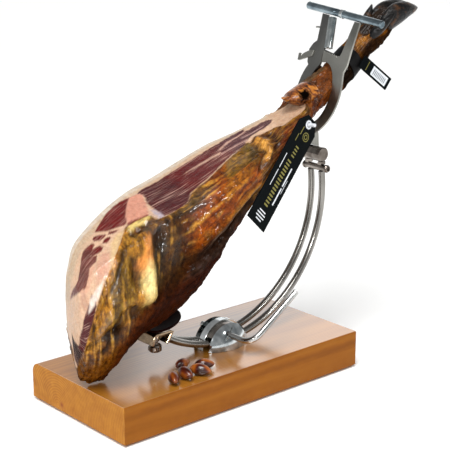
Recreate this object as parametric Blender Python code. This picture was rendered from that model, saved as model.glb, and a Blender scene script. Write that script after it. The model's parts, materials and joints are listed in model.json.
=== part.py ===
"""A whole cured ham clamped in its carving stand.

The board lies on its underside with the origin at the centre of that face. X runs along the
board towards the hoof, Z is up, and -Y is the side that the lock lever is on. Two arc shaped
rods slide between the pressed steel cups on the board, so the ham tilts about the arc's centre.
"""
import math

import bmesh
import bpy
from mathutils import Matrix, Vector

# Driving dimensions, in metres
MM = 0.001
GAP = 0.3 * MM

BOARD_LENGTH = 420 * MM
BOARD_WIDTH = 210 * MM
BOARD_HEIGHT = 55 * MM
BOARD_ROUNDING = 15 * MM
BOARD_CHAMFER = 4 * MM
BOARD_EASING = 1.2 * MM

ARM_Y = -15 * MM
ARC_X = 23 * MM
ARC_Z = 255 * MM
ARC_RADIUS = 190 * MM
ARC_FROM = math.radians(-121.35)
ARC_TO = math.radians(7.5)
ROD_RADIUS = 4.9 * MM
ROD_OFFSET = 11 * MM
ROD_STEPS = 25

DOME_X = 27.5 * MM
DOME_RADIUS = 43 * MM
DOME_DEPTH = 29.7 * MM
DOME_WALL = 3 * MM
SLOT_HALF = 16.5 * MM
FIN_HALF = 5.5 * MM
FIN_RADIUS = 38 * MM
BOLT_X = 21.5 * MM
BOLT_Z = 77.8 * MM
BOLT_RADIUS = 4.3 * MM

CLAMP_X = 203 * MM
CLAMP_Y = -6 * MM
CLAMP_Z = 340 * MM
CLAMP_LEAN = math.radians(20.8)
PLATE = 3 * MM
PIN_RADIUS = 3 * MM
BAR_RADIUS = 5.6 * MM

DRUM_X = 207 * MM
DRUM_Z = 306 * MM
DRUM_RADIUS = 10.5 * MM
LOWER_BAR_X = 211 * MM
LOWER_BAR_Z = 285 * MM
LOWER_BAR_RADIUS = 4.8 * MM

REST_X = -90 * MM
REST_PLATE = 3.5 * MM
REST_HALF = 17 * MM
CRADLE_X = -76 * MM
CRADLE_Z = 110 * MM
CRADLE_TILT = math.radians(-19)
CRADLE_RADIUS = 27.5 * MM

HAM_SIDES = 28
HAM_RINGS_PER_SPAN = 2

STEEL = ("brushed steel", (0.47, 0.46, 0.44), 0.32, 1.0)
CHROME = ("plated steel", (0.62, 0.64, 0.65), 0.16, 1.0)
BLACK_STEEL = ("blackened steel", (0.03, 0.03, 0.03), 0.45, 0.6)
WOOD = ("varnished beech", (0.50, 0.22, 0.06), 0.28, 0.0)
RIND = ("cured rind", (0.36, 0.13, 0.03), 0.38, 0.0)
BAND = ("black band", (0.012, 0.012, 0.014), 0.4, 0.0)
CARD = ("dark blue card", (0.012, 0.02, 0.03), 0.42, 0.0)
TIE = ("white nylon", (0.8, 0.82, 0.84), 0.4, 0.0)
ACORN = ("acorn shell", (0.16, 0.035, 0.012), 0.18, 0.0)


def clear_scene():
    for item in list(bpy.data.objects):
        bpy.data.objects.remove(item)


def material(look):
    name, colour, roughness, metallic = look
    made = bpy.data.materials.get(name)
    if made is None:
        made = bpy.data.materials.new(name)
        made.use_nodes = True
        shader = made.node_tree.nodes["Principled BSDF"]
        shader.inputs["Base Color"].default_value = (*colour, 1.0)
        shader.inputs["Roughness"].default_value = roughness
        shader.inputs["Metallic"].default_value = metallic
        made.diffuse_color = (*colour, 1.0)
    return made


def empty(name, matrix, parent=None):
    made = bpy.data.objects.new(name, None)
    bpy.context.scene.collection.objects.link(made)
    if parent is not None:
        made.parent = parent
        matrix = parent.matrix_world.inverted() @ matrix
    made.matrix_basis = matrix
    bpy.context.view_layer.update()
    return made


def piece(bm, name, look, frame=None, world=True, smooth=None):
    """Turns a bmesh into a named object, carried by the empty called frame.

    world says that the mesh is in world coordinates, not in the empty's own.
    """
    bmesh.ops.recalc_face_normals(bm, faces=bm.faces)
    mesh = bpy.data.meshes.new(name)
    bm.to_mesh(mesh)
    bm.free()
    if smooth is not None:
        mesh.shade_smooth()
        mesh.set_sharp_from_angle(angle=math.radians(smooth))
    made = bpy.data.objects.new(name, mesh)
    bpy.context.scene.collection.objects.link(made)
    mesh.materials.append(material(look))
    if frame is not None:
        made.parent = frame
        if world:
            made.matrix_parent_inverse = frame.matrix_world.inverted()
    bpy.context.view_layer.update()
    return made


def hide_cutter(cutter):
    cutter.hide_render = True
    cutter.display_type = "WIRE"


def boolean(target, cutter, operation):
    change = target.modifiers.new(operation.lower(), "BOOLEAN")
    change.operation = operation
    change.solver = "EXACT"
    change.object = cutter
    hide_cutter(cutter)


def along(a, b):
    """Matrix that carries the Z axis from a towards b, with its origin at a."""
    direction = Vector(b) - Vector(a)
    turn = direction.to_track_quat("Z", "Y").to_matrix().to_4x4()
    return Matrix.Translation(Vector(a)) @ turn


def rod(bm, a, b, radius, sides=20, end_radius=None):
    """Closed round bar from a to b; end_radius makes it a cone."""
    length = (Vector(b) - Vector(a)).length
    bmesh.ops.create_cone(
        bm,
        cap_ends=True,
        segments=sides,
        radius1=radius,
        radius2=radius if end_radius is None else end_radius,
        depth=length,
        matrix=along(a, b) @ Matrix.Translation((0, 0, length / 2)),
    )


def turned(bm, profile, sides, matrix):
    """Closed body turned about Z from (radius, height) points, poles first and last."""
    rings = []
    for radius, height in profile:
        if radius == 0:
            rings.append([bm.verts.new(matrix @ Vector((0, 0, height)))])
            continue
        ring = []
        for step in range(sides):
            angle = 2 * math.pi * step / sides
            spot = Vector((radius * math.cos(angle), radius * math.sin(angle), height))
            ring.append(bm.verts.new(matrix @ spot))
        rings.append(ring)
    join_rings(bm, rings)


def join_rings(bm, rings):
    for low, high in zip(rings, rings[1:]):
        count = max(len(low), len(high))
        for step in range(count):
            after = (step + 1) % count
            corners = [low[step % len(low)], low[after % len(low)]]
            corners += [high[after % len(high)], high[step % len(high)]]
            bm.faces.new(list(dict.fromkeys(corners)))


def prism(bm, outline, low, high):
    """Flat plate: an outline of (y, z) points, from x = low to x = high."""
    bottom = [bm.verts.new((low, y, z)) for y, z in outline]
    face = bm.faces.new(bottom)
    moved = bmesh.ops.extrude_face_region(bm, geom=[face])
    top = [item for item in moved["geom"] if isinstance(item, bmesh.types.BMVert)]
    bmesh.ops.translate(bm, verts=top, vec=(high - low, 0, 0))


def box(bm, low, high, matrix=Matrix.Identity(4)):
    size = Vector(high) - Vector(low)
    centre = (Vector(high) + Vector(low)) / 2
    made = bmesh.ops.create_cube(bm, size=1.0)["verts"]
    bmesh.ops.scale(bm, vec=size, verts=made)
    bmesh.ops.translate(bm, vec=centre, verts=made)
    bmesh.ops.transform(bm, matrix=matrix, verts=made)


def arc(centre, radii, start, end, steps):
    """Points of an ellipse arc, angles in degrees from +Y towards +Z."""
    points = []
    for step in range(steps + 1):
        angle = math.radians(start + (end - start) * step / steps)
        points.append((centre[0] + radii[0] * math.cos(angle), centre[1] + radii[1] * math.sin(angle)))
    return points


def smooth_through(points, share):
    """Value of a Catmull-Rom curve through the points, share from 0 to len(points) - 1."""
    low = min(int(share), len(points) - 2)
    t = share - low
    before = points[max(low - 1, 0)]
    start, end = points[low], points[low + 1]
    after = points[min(low + 2, len(points) - 1)]
    out = []
    for p, a, b, q in zip(before, start, end, after):
        bend = 2 * p - 5 * a + 4 * b - q
        twist = 3 * a - p - 3 * b + q
        out.append(0.5 * (2 * a + (b - p) * t + bend * t * t + twist * t ** 3))
    return out


# The board and what stands on it


def build_board():
    bm = bmesh.new()
    half = Vector((BOARD_LENGTH / 2, BOARD_WIDTH / 2, 0))
    box(bm, (-half.x, -half.y, 0), (half.x, half.y, BOARD_HEIGHT))

    def level_edges(height, y=None):
        found = []
        for edge in bm.edges:
            ends = edge.verts
            level = all(abs(v.co.z - height) < MM / 10 for v in ends)
            if level and (y is None or all(abs(v.co.y - y) < MM / 10 for v in ends)):
                found.append(edge)
        return found

    def bevel(edges, width, segments):
        bmesh.ops.bevel(
            bm, geom=edges, offset=width, segments=segments, profile=0.5, affect="EDGES", material=-1
        )

    bevel(level_edges(BOARD_HEIGHT, half.y), BOARD_ROUNDING, 6)
    bevel(level_edges(BOARD_HEIGHT, -half.y), BOARD_EASING, 1)
    bevel(level_edges(0), BOARD_CHAMFER, 1)
    return piece(bm, "board", WOOD)


def quarter_dome(bm, radius, depth, slot, floor):
    """Half of an upright ellipsoid's upper half, on the -Y side of the slot's plane."""
    made = bmesh.ops.create_uvsphere(bm, u_segments=28, v_segments=16, radius=1.0)["verts"]
    turn = Matrix.Rotation(math.radians(90), 4, "X")
    bmesh.ops.transform(bm, matrix=turn, verts=made)
    bmesh.ops.scale(bm, vec=(radius, depth, radius), verts=made)
    for spot, normal in (((0, 0, floor), (0, 0, -1)), ((0, -slot, 0), (0, 1, 0))):
        whole = bm.verts[:] + bm.edges[:] + bm.faces[:]
        cut = bmesh.ops.bisect_plane(
            bm, geom=whole, dist=MM / 100, plane_co=spot, plane_no=normal, clear_outer=True
        )
        rim = [item for item in cut["geom_cut"] if isinstance(item, bmesh.types.BMEdge)]
        bmesh.ops.holes_fill(bm, edges=rim)


def build_cup(name, side):
    """Pressed steel cup with a bore for the lock bolt; side is -1 for the lever's side."""
    spot = Matrix.Translation((DOME_X, ARM_Y, BOARD_HEIGHT + GAP))
    if side > 0:
        spot = spot @ Matrix.Rotation(math.pi, 4, "Z")
    bm = bmesh.new()
    quarter_dome(bm, DOME_RADIUS, DOME_DEPTH, SLOT_HALF, 0)
    bmesh.ops.transform(bm, matrix=spot, verts=bm.verts)
    cup = piece(bm, name, CHROME, smooth=40)
    bm = bmesh.new()
    inner = DOME_RADIUS - DOME_WALL
    quarter_dome(bm, inner, DOME_DEPTH - DOME_WALL, SLOT_HALF - DOME_WALL, -DOME_WALL)
    bmesh.ops.transform(bm, matrix=Matrix.Translation((0, 0, -GAP)) @ spot, verts=bm.verts)
    hollow = piece(bm, name + "_hollow", CHROME)
    boolean(cup, hollow, "DIFFERENCE")
    bm = bmesh.new()
    reach = DOME_DEPTH + 10 * MM
    near = Vector((BOLT_X, ARM_Y, BOLT_Z))
    rod(bm, near, near + Vector((0, side * reach, 0)), BOLT_RADIUS + GAP, 16)
    bore = piece(bm, name + "_bore", CHROME)
    boolean(cup, bore, "DIFFERENCE")


def build_fin():
    """Upright half disc between the two rods."""
    radius = FIN_RADIUS
    foot = BOARD_HEIGHT + GAP
    rim = [(DOME_X + y, foot + z) for y, z in arc((0, 0), (radius, radius), 0, 180, 24)]
    bm = bmesh.new()
    prism(bm, rim, -FIN_HALF, FIN_HALF)
    for vert in bm.verts:
        vert.co = Vector((vert.co.y, ARM_Y + vert.co.x, vert.co.z))
    fin = piece(bm, "dome_fin", CHROME, smooth=30)
    bm = bmesh.new()
    spot = Vector((BOLT_X, ARM_Y, BOLT_Z))
    reach = Vector((0, FIN_HALF + 5 * MM, 0))
    rod(bm, spot - reach, spot + reach, BOLT_RADIUS + GAP, 16)
    bore = piece(bm, "dome_fin_bore", CHROME)
    boolean(fin, bore, "DIFFERENCE")


def build_acorns():
    """Five shelled acorns that lie on the board, blunt end first."""
    length = 29 * MM
    girth = 7.8 * MM
    lying = (
        (-113, -84, -121, 0.98),
        (-91, -82, -98, 1.05),
        (-68, -85, -62, 1.05),
        (-50, -72, -36, 0.95),
        (-71, -51, 9, 0.92),
    )
    shape = ((0, 0), (0.45, 0.03), (0.82, 0.16), (1, 0.42), (0.93, 0.66), (0.62, 0.87), (0.16, 0.97), (0, 1))
    for number, (x, y, heading, size) in enumerate(lying, 1):
        profile = [(radius * girth * size, height * length * size) for radius, height in shape]
        height = BOARD_HEIGHT + girth * size + GAP
        centre = Matrix.Translation((x * MM, y * MM, height))
        aim = Matrix.Rotation(math.radians(heading), 4, "Z") @ Matrix.Rotation(math.radians(90), 4, "Y")
        bm = bmesh.new()
        turned(bm, profile, 12, centre @ aim @ Matrix.Translation((0, 0, -length * size / 2)))
        piece(bm, f"acorn_{number}", ACORN, smooth=60)


def bent_rod(name, points, radius, look, frame, sides):
    """Round bar along smooth points, as a curve with a bevel and filled caps."""
    curve = bpy.data.curves.new(name, "CURVE")
    curve.dimensions = "3D"
    curve.bevel_depth = radius
    curve.bevel_resolution = sides // 2 - 2
    curve.use_fill_caps = True
    spline = curve.splines.new("POLY")
    spline.points.add(len(points) - 1)
    for place, point in zip(spline.points, points):
        place.co = (*point, 1.0)
    curve.materials.append(material(look))
    made = bpy.data.objects.new(name, curve)
    bpy.context.scene.collection.objects.link(made)
    made.parent = frame
    made.matrix_parent_inverse = frame.matrix_world.inverted()
    return made


def build_lever(frame):
    """Lock lever: a bolt through both cups that bends into a handle outside the near cup."""
    far = (BOLT_X, ARM_Y + DOME_DEPTH + 3 * MM, BOLT_Z)
    corner = Vector((BOLT_X, -87.5 * MM, BOLT_Z))
    elbow = Vector((BOLT_X, ARM_Y - DOME_DEPTH - 2 * MM, BOLT_Z))
    grip = Vector((104 * MM, -87.5 * MM, 135 * MM))
    turn = 10 * MM
    arrive = corner + (elbow - corner).normalized() * turn
    leave = corner + (grip - corner).normalized() * turn
    points = [far, elbow, elbow + (corner - elbow).normalized() * 3 * MM, arrive]
    for step in range(1, 6):
        t = step / 6
        points.append(arrive * (1 - t) ** 2 + corner * 2 * t * (1 - t) + leave * t * t)
    points += [leave, grip]
    bent_rod("lock_lever", [Vector(p) for p in points], BOLT_RADIUS, STEEL, frame, 10)


# The arm, its rest and its head


def build_rods(frame):
    for name, side in (("rod_near", -1), ("rod_far", 1)):
        points = []
        for step in range(ROD_STEPS + 1):
            angle = ARC_FROM + (ARC_TO - ARC_FROM) * step / ROD_STEPS
            x = ARC_X + ARC_RADIUS * math.cos(angle)
            z = ARC_Z + ARC_RADIUS * math.sin(angle)
            points.append(Vector((x, ARM_Y + side * ROD_OFFSET, z)))
        bent_rod(name, points, ROD_RADIUS, STEEL, frame, 10)


def strip(points, thickness):
    """Outline of a bent strip of plate along its middle line, with mitred corners."""
    sides = ([], [])
    for place, point in enumerate(points):
        normals = []
        for start, end in zip(points[max(place - 1, 0):], points[max(place - 1, 0) + 1:place + 2]):
            length = math.dist(start, end)
            normals.append(((start[1] - end[1]) / length, (end[0] - start[0]) / length))
        across = (sum(n[0] for n in normals), sum(n[1] for n in normals))
        scale = thickness / (across[0] * normals[0][0] + across[1] * normals[0][1])
        for side, sign in zip(sides, (0.5, -0.5)):
            side.append((point[0] + sign * scale * across[0], point[1] + sign * scale * across[1]))
    return sides[0] + sides[1][::-1]


def build_rest(frame):
    """Bracket on the rods' front ends, with the cradle that the ham's underside lies in."""
    radial = ARC_FROM - (REST_PLATE / 2 + 2.5 * GAP) / ARC_RADIUS
    ends = []
    for radius in (ARC_RADIUS + 7 * MM, ARC_RADIUS - 13 * MM):
        ends.append((ARC_X + radius * math.cos(radial), ARC_Z + radius * math.sin(radial)))
    top = ends[1][1] - MM
    line = [ends[0], (ends[1][0] - 1.2 * MM, top - 1.5 * MM), (ends[1][0] - 4 * MM, top)]
    line += [(-99 * MM, top), (-102.5 * MM, top - 2.5 * MM), (-106 * MM, top - 14 * MM)]
    bm = bmesh.new()
    prism(bm, strip(line, REST_PLATE), -REST_HALF, REST_HALF)
    for vert in bm.verts:
        vert.co = Vector((vert.co.y, ARM_Y + vert.co.x, vert.co.z))
    bracket = piece(bm, "rest_bracket", CHROME, frame)

    shank = 4 * MM
    spot = Matrix.Translation((REST_X, ARM_Y, top))
    bm = bmesh.new()
    rod(bm, spot @ Vector((0, 0, -8 * MM)), spot @ Vector((0, 0, 8 * MM)), shank + GAP, 16)
    bore = piece(bm, "rest_bracket_bore", CHROME)
    boolean(bracket, bore, "DIFFERENCE")
    knob, nut = 9.5 * MM, 6.4 * MM
    profile = [(0, -29.5), (knob * 0.8, -29.5), (knob, -27.5), (knob, -21.7), (knob * 0.85, -19.7)]
    profile += [(shank, -19.7), (shank, -14.5), (nut, -14.5), (nut, -6), (shank, -6), (shank, 2), (0, 2)]
    profile = [(radius, height * MM) for radius, height in profile]
    bm = bmesh.new()
    turned(bm, profile, 12, spot)
    piece(bm, "rest_bolt", BLACK_STEEL, frame, smooth=30)

    # The cradle is a dished round plate that follows the ham's underside
    sag, thickness = 5 * MM, 3.4 * MM
    radius = CRADLE_RADIUS
    seat = Matrix.Translation((CRADLE_X, ARM_Y, CRADLE_Z)) @ Matrix.Rotation(CRADLE_TILT, 4, "Y")
    profile = [(0, 0)]
    for share in (0.35, 0.68, 0.9, 1.0):
        profile.append((radius * share, sag * share ** 2))
    for share in (1.0, 0.9, 0.68, 0.35):
        profile.append((radius * share, sag * share ** 2 + thickness))
    profile.append((0, thickness))
    bm = bmesh.new()
    turned(bm, profile, 28, seat)
    piece(bm, "rest_cradle", BLACK_STEEL, frame, smooth=50)


def build_head(frame):
    """Cross bar on the rods' top ends, the tilting drum over it and the clamp's post."""
    centre = Vector((LOWER_BAR_X, ARM_Y, LOWER_BAR_Z))
    reach = 20 * MM
    radius = LOWER_BAR_RADIUS
    head = 5.8 * MM
    profile = [(0, -reach - 2.2 * MM), (2.6 * MM, -reach - 2.2 * MM), (2.8 * MM, -reach - 5 * MM)]
    profile += [(4.6 * MM, -reach - 4.6 * MM), (head, -reach - 2.6 * MM), (head, -reach), (radius, -reach)]
    profile += [(radius, reach), (head, reach), (head, reach + 2.6 * MM), (4.4 * MM, reach + 4.6 * MM)]
    profile += [(0, reach + 5 * MM)]
    bm = bmesh.new()
    turned(bm, profile, 18, Matrix.Translation(centre) @ Matrix.Rotation(math.radians(-90), 4, "X"))
    piece(bm, "lower_bar", CHROME, frame, smooth=35)

    profile = [(0, -18.5 * MM), (DRUM_RADIUS - MM, -18.5 * MM), (DRUM_RADIUS, -17.5 * MM)]
    profile += [(DRUM_RADIUS, 17.5 * MM), (DRUM_RADIUS - MM, 18.5 * MM), (0, 18.5 * MM)]
    spot = Matrix.Translation((DRUM_X, ARM_Y, DRUM_Z)) @ Matrix.Rotation(math.radians(-90), 4, "X")
    bm = bmesh.new()
    turned(bm, profile, 28, spot)
    piece(bm, "head_drum", CHROME, frame, smooth=35)

    foot = LOWER_BAR_Z + LOWER_BAR_RADIUS + GAP
    top = DRUM_Z - DRUM_RADIUS - GAP
    for name, y in (("head_spacer_near", -28 * MM), ("head_spacer_far", -2 * MM)):
        bm = bmesh.new()
        box(bm, (DRUM_X - 3 * MM, y - 3.5 * MM, foot), (DRUM_X + 7 * MM, y + 3.5 * MM, top))
        piece(bm, name, CHROME, frame)


def build_post(clamp):
    """Black lug between the drum and the jaws, and the pin that the jaws swing on."""
    back = PLATE + 2 * GAP
    outline = [(3.6, 7), (3.6, -7), (8.5, -19.3), (26, -19.3), (18, -2), (12, 7)]
    bm = bmesh.new()
    prism(bm, [(x * MM, z * MM) for x, z in outline], -5 * MM, 5 * MM)
    for vert in bm.verts:
        vert.co = Vector((vert.co.y, vert.co.x, vert.co.z))
    post = piece(bm, "head_post", BLACK_STEEL, clamp, world=False)
    bm = bmesh.new()
    rod(bm, (-20 * MM, 0, 0), (20 * MM, 0, 0), PIN_RADIUS + GAP, 16)
    bore = piece(bm, "head_post_bore", BLACK_STEEL, clamp, world=False)
    boolean(post, bore, "DIFFERENCE")
    front = -PLATE - 2 * GAP
    profile = [(0, front - 3 * MM), (3.6 * MM, front - 2.6 * MM), (5.4 * MM, front - MM), (5.4 * MM, front)]
    profile += [(PIN_RADIUS, front), (PIN_RADIUS, back + 7 * MM), (0, back + 7 * MM)]
    bm = bmesh.new()
    turned(bm, profile, 16, Matrix.Rotation(math.radians(90), 4, "Y"))
    piece(bm, "jaw_pin", CHROME, clamp, world=False, smooth=35)


RING_CENTRE = (1.2 * MM, 54 * MM)
RING_OUTER = (45 * MM, 62 * MM)
RING_HOLE = (27 * MM, 45.5 * MM)
BAR_FAR_END = (69 * MM, 178.5 * MM)
BAR_NEAR_END = (-84.6 * MM, 164.5 * MM)


def bar_height(y):
    """Height of the cross handle's axis above the jaws' pin, at a distance y from it."""
    share = (y - BAR_NEAR_END[0]) / (BAR_FAR_END[0] - BAR_NEAR_END[0])
    return BAR_NEAR_END[1] + share * (BAR_FAR_END[1] - BAR_NEAR_END[1])


def jaw_outline_far():
    below = BAR_RADIUS + 2 * GAP
    outline = arc(RING_CENTRE, RING_OUTER, -102, 38, 20)
    outline += [(y * MM, z * MM) for y, z in ((40, 96), (42.5, 107), (43, 115), (38, 124), (32, 129))]
    outline += [(y * MM, bar_height(y * MM) - below) for y in (36, 24)]
    outline += [(13.5 * MM, 118 * MM), (13.2 * MM, 97 * MM)]
    outline += arc(RING_CENTRE, RING_HOLE, 62, -108, 22)
    return outline + [(-9.6 * MM, 3 * MM), (-9.4 * MM, -2 * MM)]


def jaw_outline_near():
    below = BAR_RADIUS + 2 * GAP
    outline = [(10.6 * MM, -3 * MM), (11 * MM, 3 * MM)] + arc(RING_CENTRE, RING_HOLE, -72, -280, 24)
    outline += [(y * MM, z * MM) for y, z in ((8.8, 98.5), (10, 116))]
    teeth = 8
    for tooth in range(teeth):
        y = 9.2 - tooth * 3.6
        z = 116.4 - tooth * 0.7
        outline += [(y * MM, z * MM), ((y - 1.6) * MM, (z - 2.6) * MM)]
    outline += [(y * MM, z * MM) for y, z in ((-21, 111), (-23.5, 110.5), (-25.6, 115.5))]
    outline += [(y * MM, bar_height(y * MM) - below) for y in (-33.4, -44.2)]
    outline += [(y * MM, z * MM) for y, z in ((-42.5, 128), (-42, 99), (-38.5, 88))]
    outline += arc(RING_CENTRE, RING_OUTER, 166, 281, 16)
    return outline


def sleeve(bm, start, end, low, high):
    """Short flange along the hole's rim."""
    gap, wall = 0.2 * MM, 2.4 * MM
    inner = (RING_HOLE[0] - gap, RING_HOLE[1] - gap)
    outer = (RING_HOLE[0] + wall, RING_HOLE[1] + wall)
    outline = arc(RING_CENTRE, inner, start, end, 16) + arc(RING_CENTRE, outer, end, start, 16)
    prism(bm, outline, low, high)


def build_jaw(name, outline, low, high, span, frame):
    bm = bmesh.new()
    prism(bm, outline, low, high)
    jaw = piece(bm, name, STEEL, frame, world=False)
    bm = bmesh.new()
    sleeve(bm, *span, low + MM, 9 * MM)
    flange = piece(bm, name + "_flange", STEEL, frame, world=False)
    boolean(jaw, flange, "UNION")
    bm = bmesh.new()
    rod(bm, (-10 * MM, 0, 0), (10 * MM, 0, 0), PIN_RADIUS + GAP, 16)
    bore = piece(bm, name + "_bore", STEEL, frame, world=False)
    boolean(jaw, bore, "DIFFERENCE")
    return jaw


def build_handle(name, start, end, frame):
    """Half of the cross handle, domed at its outer end."""
    length = math.dist(start, end)
    nose = 1.6 * MM
    profile = [(0, 0), (BAR_RADIUS - 0.6 * MM, 0), (BAR_RADIUS, 0.6 * MM), (BAR_RADIUS, length - nose)]
    profile += [(BAR_RADIUS - nose, length), (0, length)]
    bm = bmesh.new()
    turned(bm, profile, 18, along((0, *start), (0, *end)))
    piece(bm, name, STEEL, frame, world=False, smooth=35)


def build_clamp(clamp, jaw_axis):
    build_jaw("jaw_far", jaw_outline_far(), GAP, PLATE + GAP, (57, -60), clamp)
    build_jaw("jaw_near", jaw_outline_near(), -PLATE, 0, (118, 242), jaw_axis)
    middle = 8 * MM
    build_handle("handle_far", (middle, bar_height(middle)), BAR_FAR_END, clamp)
    beside = middle - 2 * GAP
    build_handle("handle_near", (beside, bar_height(beside)), BAR_NEAR_END, jaw_axis)

    # The pawl's slotted tube stands beside the far jaw's neck, over the near jaw's teeth
    low = Vector((0, 5.4 * MM, 119.5 * MM))
    high = Vector((0, 13.6 * MM, 166 * MM))
    bm = bmesh.new()
    profile = [(4 * MM, 0), (6.2 * MM, 0), (6.2 * MM, 46 * MM), (4 * MM, 46 * MM), (4 * MM, 0)]
    spot = along(low, high)
    rings = []
    for radius, height in profile[:-1]:
        rings.append([])
        for step in range(18):
            angle = 2 * math.pi * step / 18
            local = Vector((radius * math.cos(angle), radius * math.sin(angle), height))
            rings[-1].append(bm.verts.new(spot @ local))
    join_rings(bm, rings + [rings[0]])
    piece(bm, "pawl_tube", CHROME, clamp, world=False, smooth=35)
    bm = bmesh.new()
    axis = (high - low).normalized()
    rod(bm, low - axis * 0.6 * MM, high - axis * 3 * MM, 3.6 * MM, 14)
    piece(bm, "pawl_rod", CHROME, clamp, world=False, smooth=35)

    outline = [(31, 114), (42, 111.5), (50, 107), (53, 103.5), (55.5, 107), (59.5, 106)]
    outline += [(58.5, 96), (54.5, 96), (44, 100), (32, 105)]
    bm = bmesh.new()
    prism(bm, [(y * MM, z * MM) for y, z in outline], -2.2 * MM, 0)
    piece(bm, "release_lever", STEEL, clamp, world=False)
    bm = bmesh.new()
    edge = 34.3 * MM
    rod(bm, (1.8 * MM, edge + 0.4 * MM, 149 * MM), (1.8 * MM, edge + 8 * MM, 148.4 * MM), 1.3 * MM, 10)
    piece(bm, "stop_pin", STEEL, clamp, world=False)


# The ham: key sections from the butt to the fetlock, in millimetres
# upper x, upper z, lower x, lower z, half width, centre y, carved share

HAM_SECTIONS = (
    (-221, 204, -214, 66, 38, -14, 1),
    (-205, 231, -195, 57, 53, -14, 1),
    (-176, 251, -177, 59.5, 63, -15, 1),
    (-142, 269, -164, 79, 70, -15, 1),
    (-103, 285, -137, 98, 73, -15, 1),
    (-55, 298, -96, 113, 74, -15, 1),
    (-11, 314, -61, 141, 73, -15, 1),
    (35, 331, -42, 176, 68, -15, 1),
    (75, 342, -10, 207, 60, -15, 1),
    (107, 353, 36, 247, 52, -15, 1),
    (138, 364, 72, 281, 45, -15, 0.9),
    (164, 374, 100, 311, 40, -15, 0.6),
    (180, 385, 122, 326, 37, -14, 0.2),
    (190, 396, 151, 341, 34, -12, 0),
    (200, 406, 188, 361, 30, -9, 0),
    (216, 414, 224, 377, 26, -6, 0),
    (242, 428, 259, 390, 22, -6, 0),
    (269, 447, 286, 414, 21, -8, 0),
    (297, 469, 313, 436, 20, -9, 0),
    (321, 487, 335, 450, 20, -11, 0),
    (345, 503, 356, 475, 21, -13, 0),
)
CARVE_OVERSHOOT = 1.28
CARVE_TILT = 0.13
BUTT_SKEW = 0.35
KEEL = 1.1


def ham_section(share):
    """Ring of points round the ham at a place between its key sections."""
    ux, uz, lx, lz, width, centre, carved = smooth_through(HAM_SECTIONS, share)
    carved = min(max(carved, 0), 1)
    upper = Vector((ux, 0, uz)) * MM
    lower = Vector((lx, 0, lz)) * MM
    middle = (upper + lower) / 2
    half = (upper - lower) / 2
    ring = []
    for step in range(HAM_SIDES):
        angle = 2 * math.pi * step / HAM_SIDES
        keel = KEEL * carved if math.cos(angle) < 0 else 0
        across = math.copysign(abs(math.sin(angle)) ** (0.9 + keel), math.sin(angle))
        rise = math.copysign(abs(math.cos(angle)) ** 0.9, math.cos(angle))
        if rise > 0:
            rise *= 1 + (CARVE_OVERSHOOT - 1) * carved
        rise = min(rise, 1 + CARVE_TILT * across * carved) if carved > 0.05 else rise
        skew = BUTT_SKEW * max(1 - share / 5, 0) * across * width
        ring.append(middle + half * rise + Vector((skew, centre + across * width, 0)) * MM)
    return ring


def build_horn(name, rings, parent):
    """Tapered claw through (x, y, z, half width, half height) sections."""
    bm = bmesh.new()
    loops = []
    for place, (x, y, z, width, height) in enumerate(rings):
        ahead = rings[min(place + 1, len(rings) - 1)]
        behind = rings[max(place - 1, 0)]
        run = Vector((ahead[0] - behind[0], 0, ahead[2] - behind[2])).normalized()
        up = Vector((-run.z, 0, run.x))
        loop = []
        for step in range(12):
            angle = 2 * math.pi * step / 12
            offset = up * math.cos(angle) * height + Vector((0, math.sin(angle) * width, 0))
            loop.append(bm.verts.new((Vector((x, y, z)) + offset) * MM))
        loops.append(loop)
    bm.faces.new(loops[0])
    bm.faces.new(loops[-1])
    join_rings(bm, loops)
    return piece(bm, name, RIND, parent)


def build_ham(frame, clamp):
    bm = bmesh.new()
    spans = len(HAM_SECTIONS) - 1
    rings = []
    first = ham_section(0)
    centre = sum(first, Vector()) / len(first)
    bulge = Vector((-7 * MM, 0, 0))
    rings.append([bm.verts.new(centre + bulge)])
    rings.append([bm.verts.new(centre + (spot - centre) * 0.62 + bulge * 0.8) for spot in first])
    for step in range(spans * HAM_RINGS_PER_SPAN + 1):
        rings.append([bm.verts.new(spot) for spot in ham_section(step / HAM_RINGS_PER_SPAN)])
    last = [vert.co.copy() for vert in rings[-1]]
    centre = sum(last, Vector()) / len(last)
    out = Vector((6 * MM, 0, 5 * MM))
    rings.append([bm.verts.new(centre + (spot - centre) * 0.7 + out) for spot in last])
    rings.append([bm.verts.new(centre + out * 1.3)])
    join_rings(bm, rings)
    ham = piece(bm, "ham", RIND, frame, smooth=45)

    for name, y, x in (("claw_near", -25, 0), ("claw_far", -1, 12)):
        rings = [(336, y, 480, 8, 12), (358, y, 493, 11.3, 17), (378 + x / 2, y, 499, 11.3, 14)]
        rings += [(395 + x, y, 501, 8, 8), (406 + x, y, 500, 3, 3)]
        boolean(ham, build_horn(name, rings, frame), "UNION")
    for name, y, rise in (("dewclaw_near", -29, -10), ("dewclaw_far", 3, 0)):
        rings = [(312, y * 0.6, 470 + rise, 9, 9), (328, y, 488 + rise, 8, 8), (338, y, 500 + rise, 5, 5)]
        rings.append((343, y, 506 + rise, 2, 2))
        boolean(ham, build_horn(name, rings, frame), "UNION")

    # The clamp squeezes the hock to its hole
    bm = bmesh.new()
    hole = (RING_HOLE[0] - 0.9 * MM, RING_HOLE[1] - 0.9 * MM)
    wide = (RING_HOLE[0] + 34 * MM, RING_HOLE[1] + 34 * MM)
    loops = []
    for x, radii in ((-PLATE - GAP, wide), (9.4 * MM, wide), (9.4 * MM, hole), (-PLATE - GAP, hole)):
        ring = arc(RING_CENTRE, radii, 0, 345, 23)
        loops.append([bm.verts.new((x, y, z)) for y, z in ring])
    join_rings(bm, loops + [loops[0]])
    bite = piece(bm, "clamp_bite", RIND, clamp, world=False)
    boolean(ham, bite, "DIFFERENCE")


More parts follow.
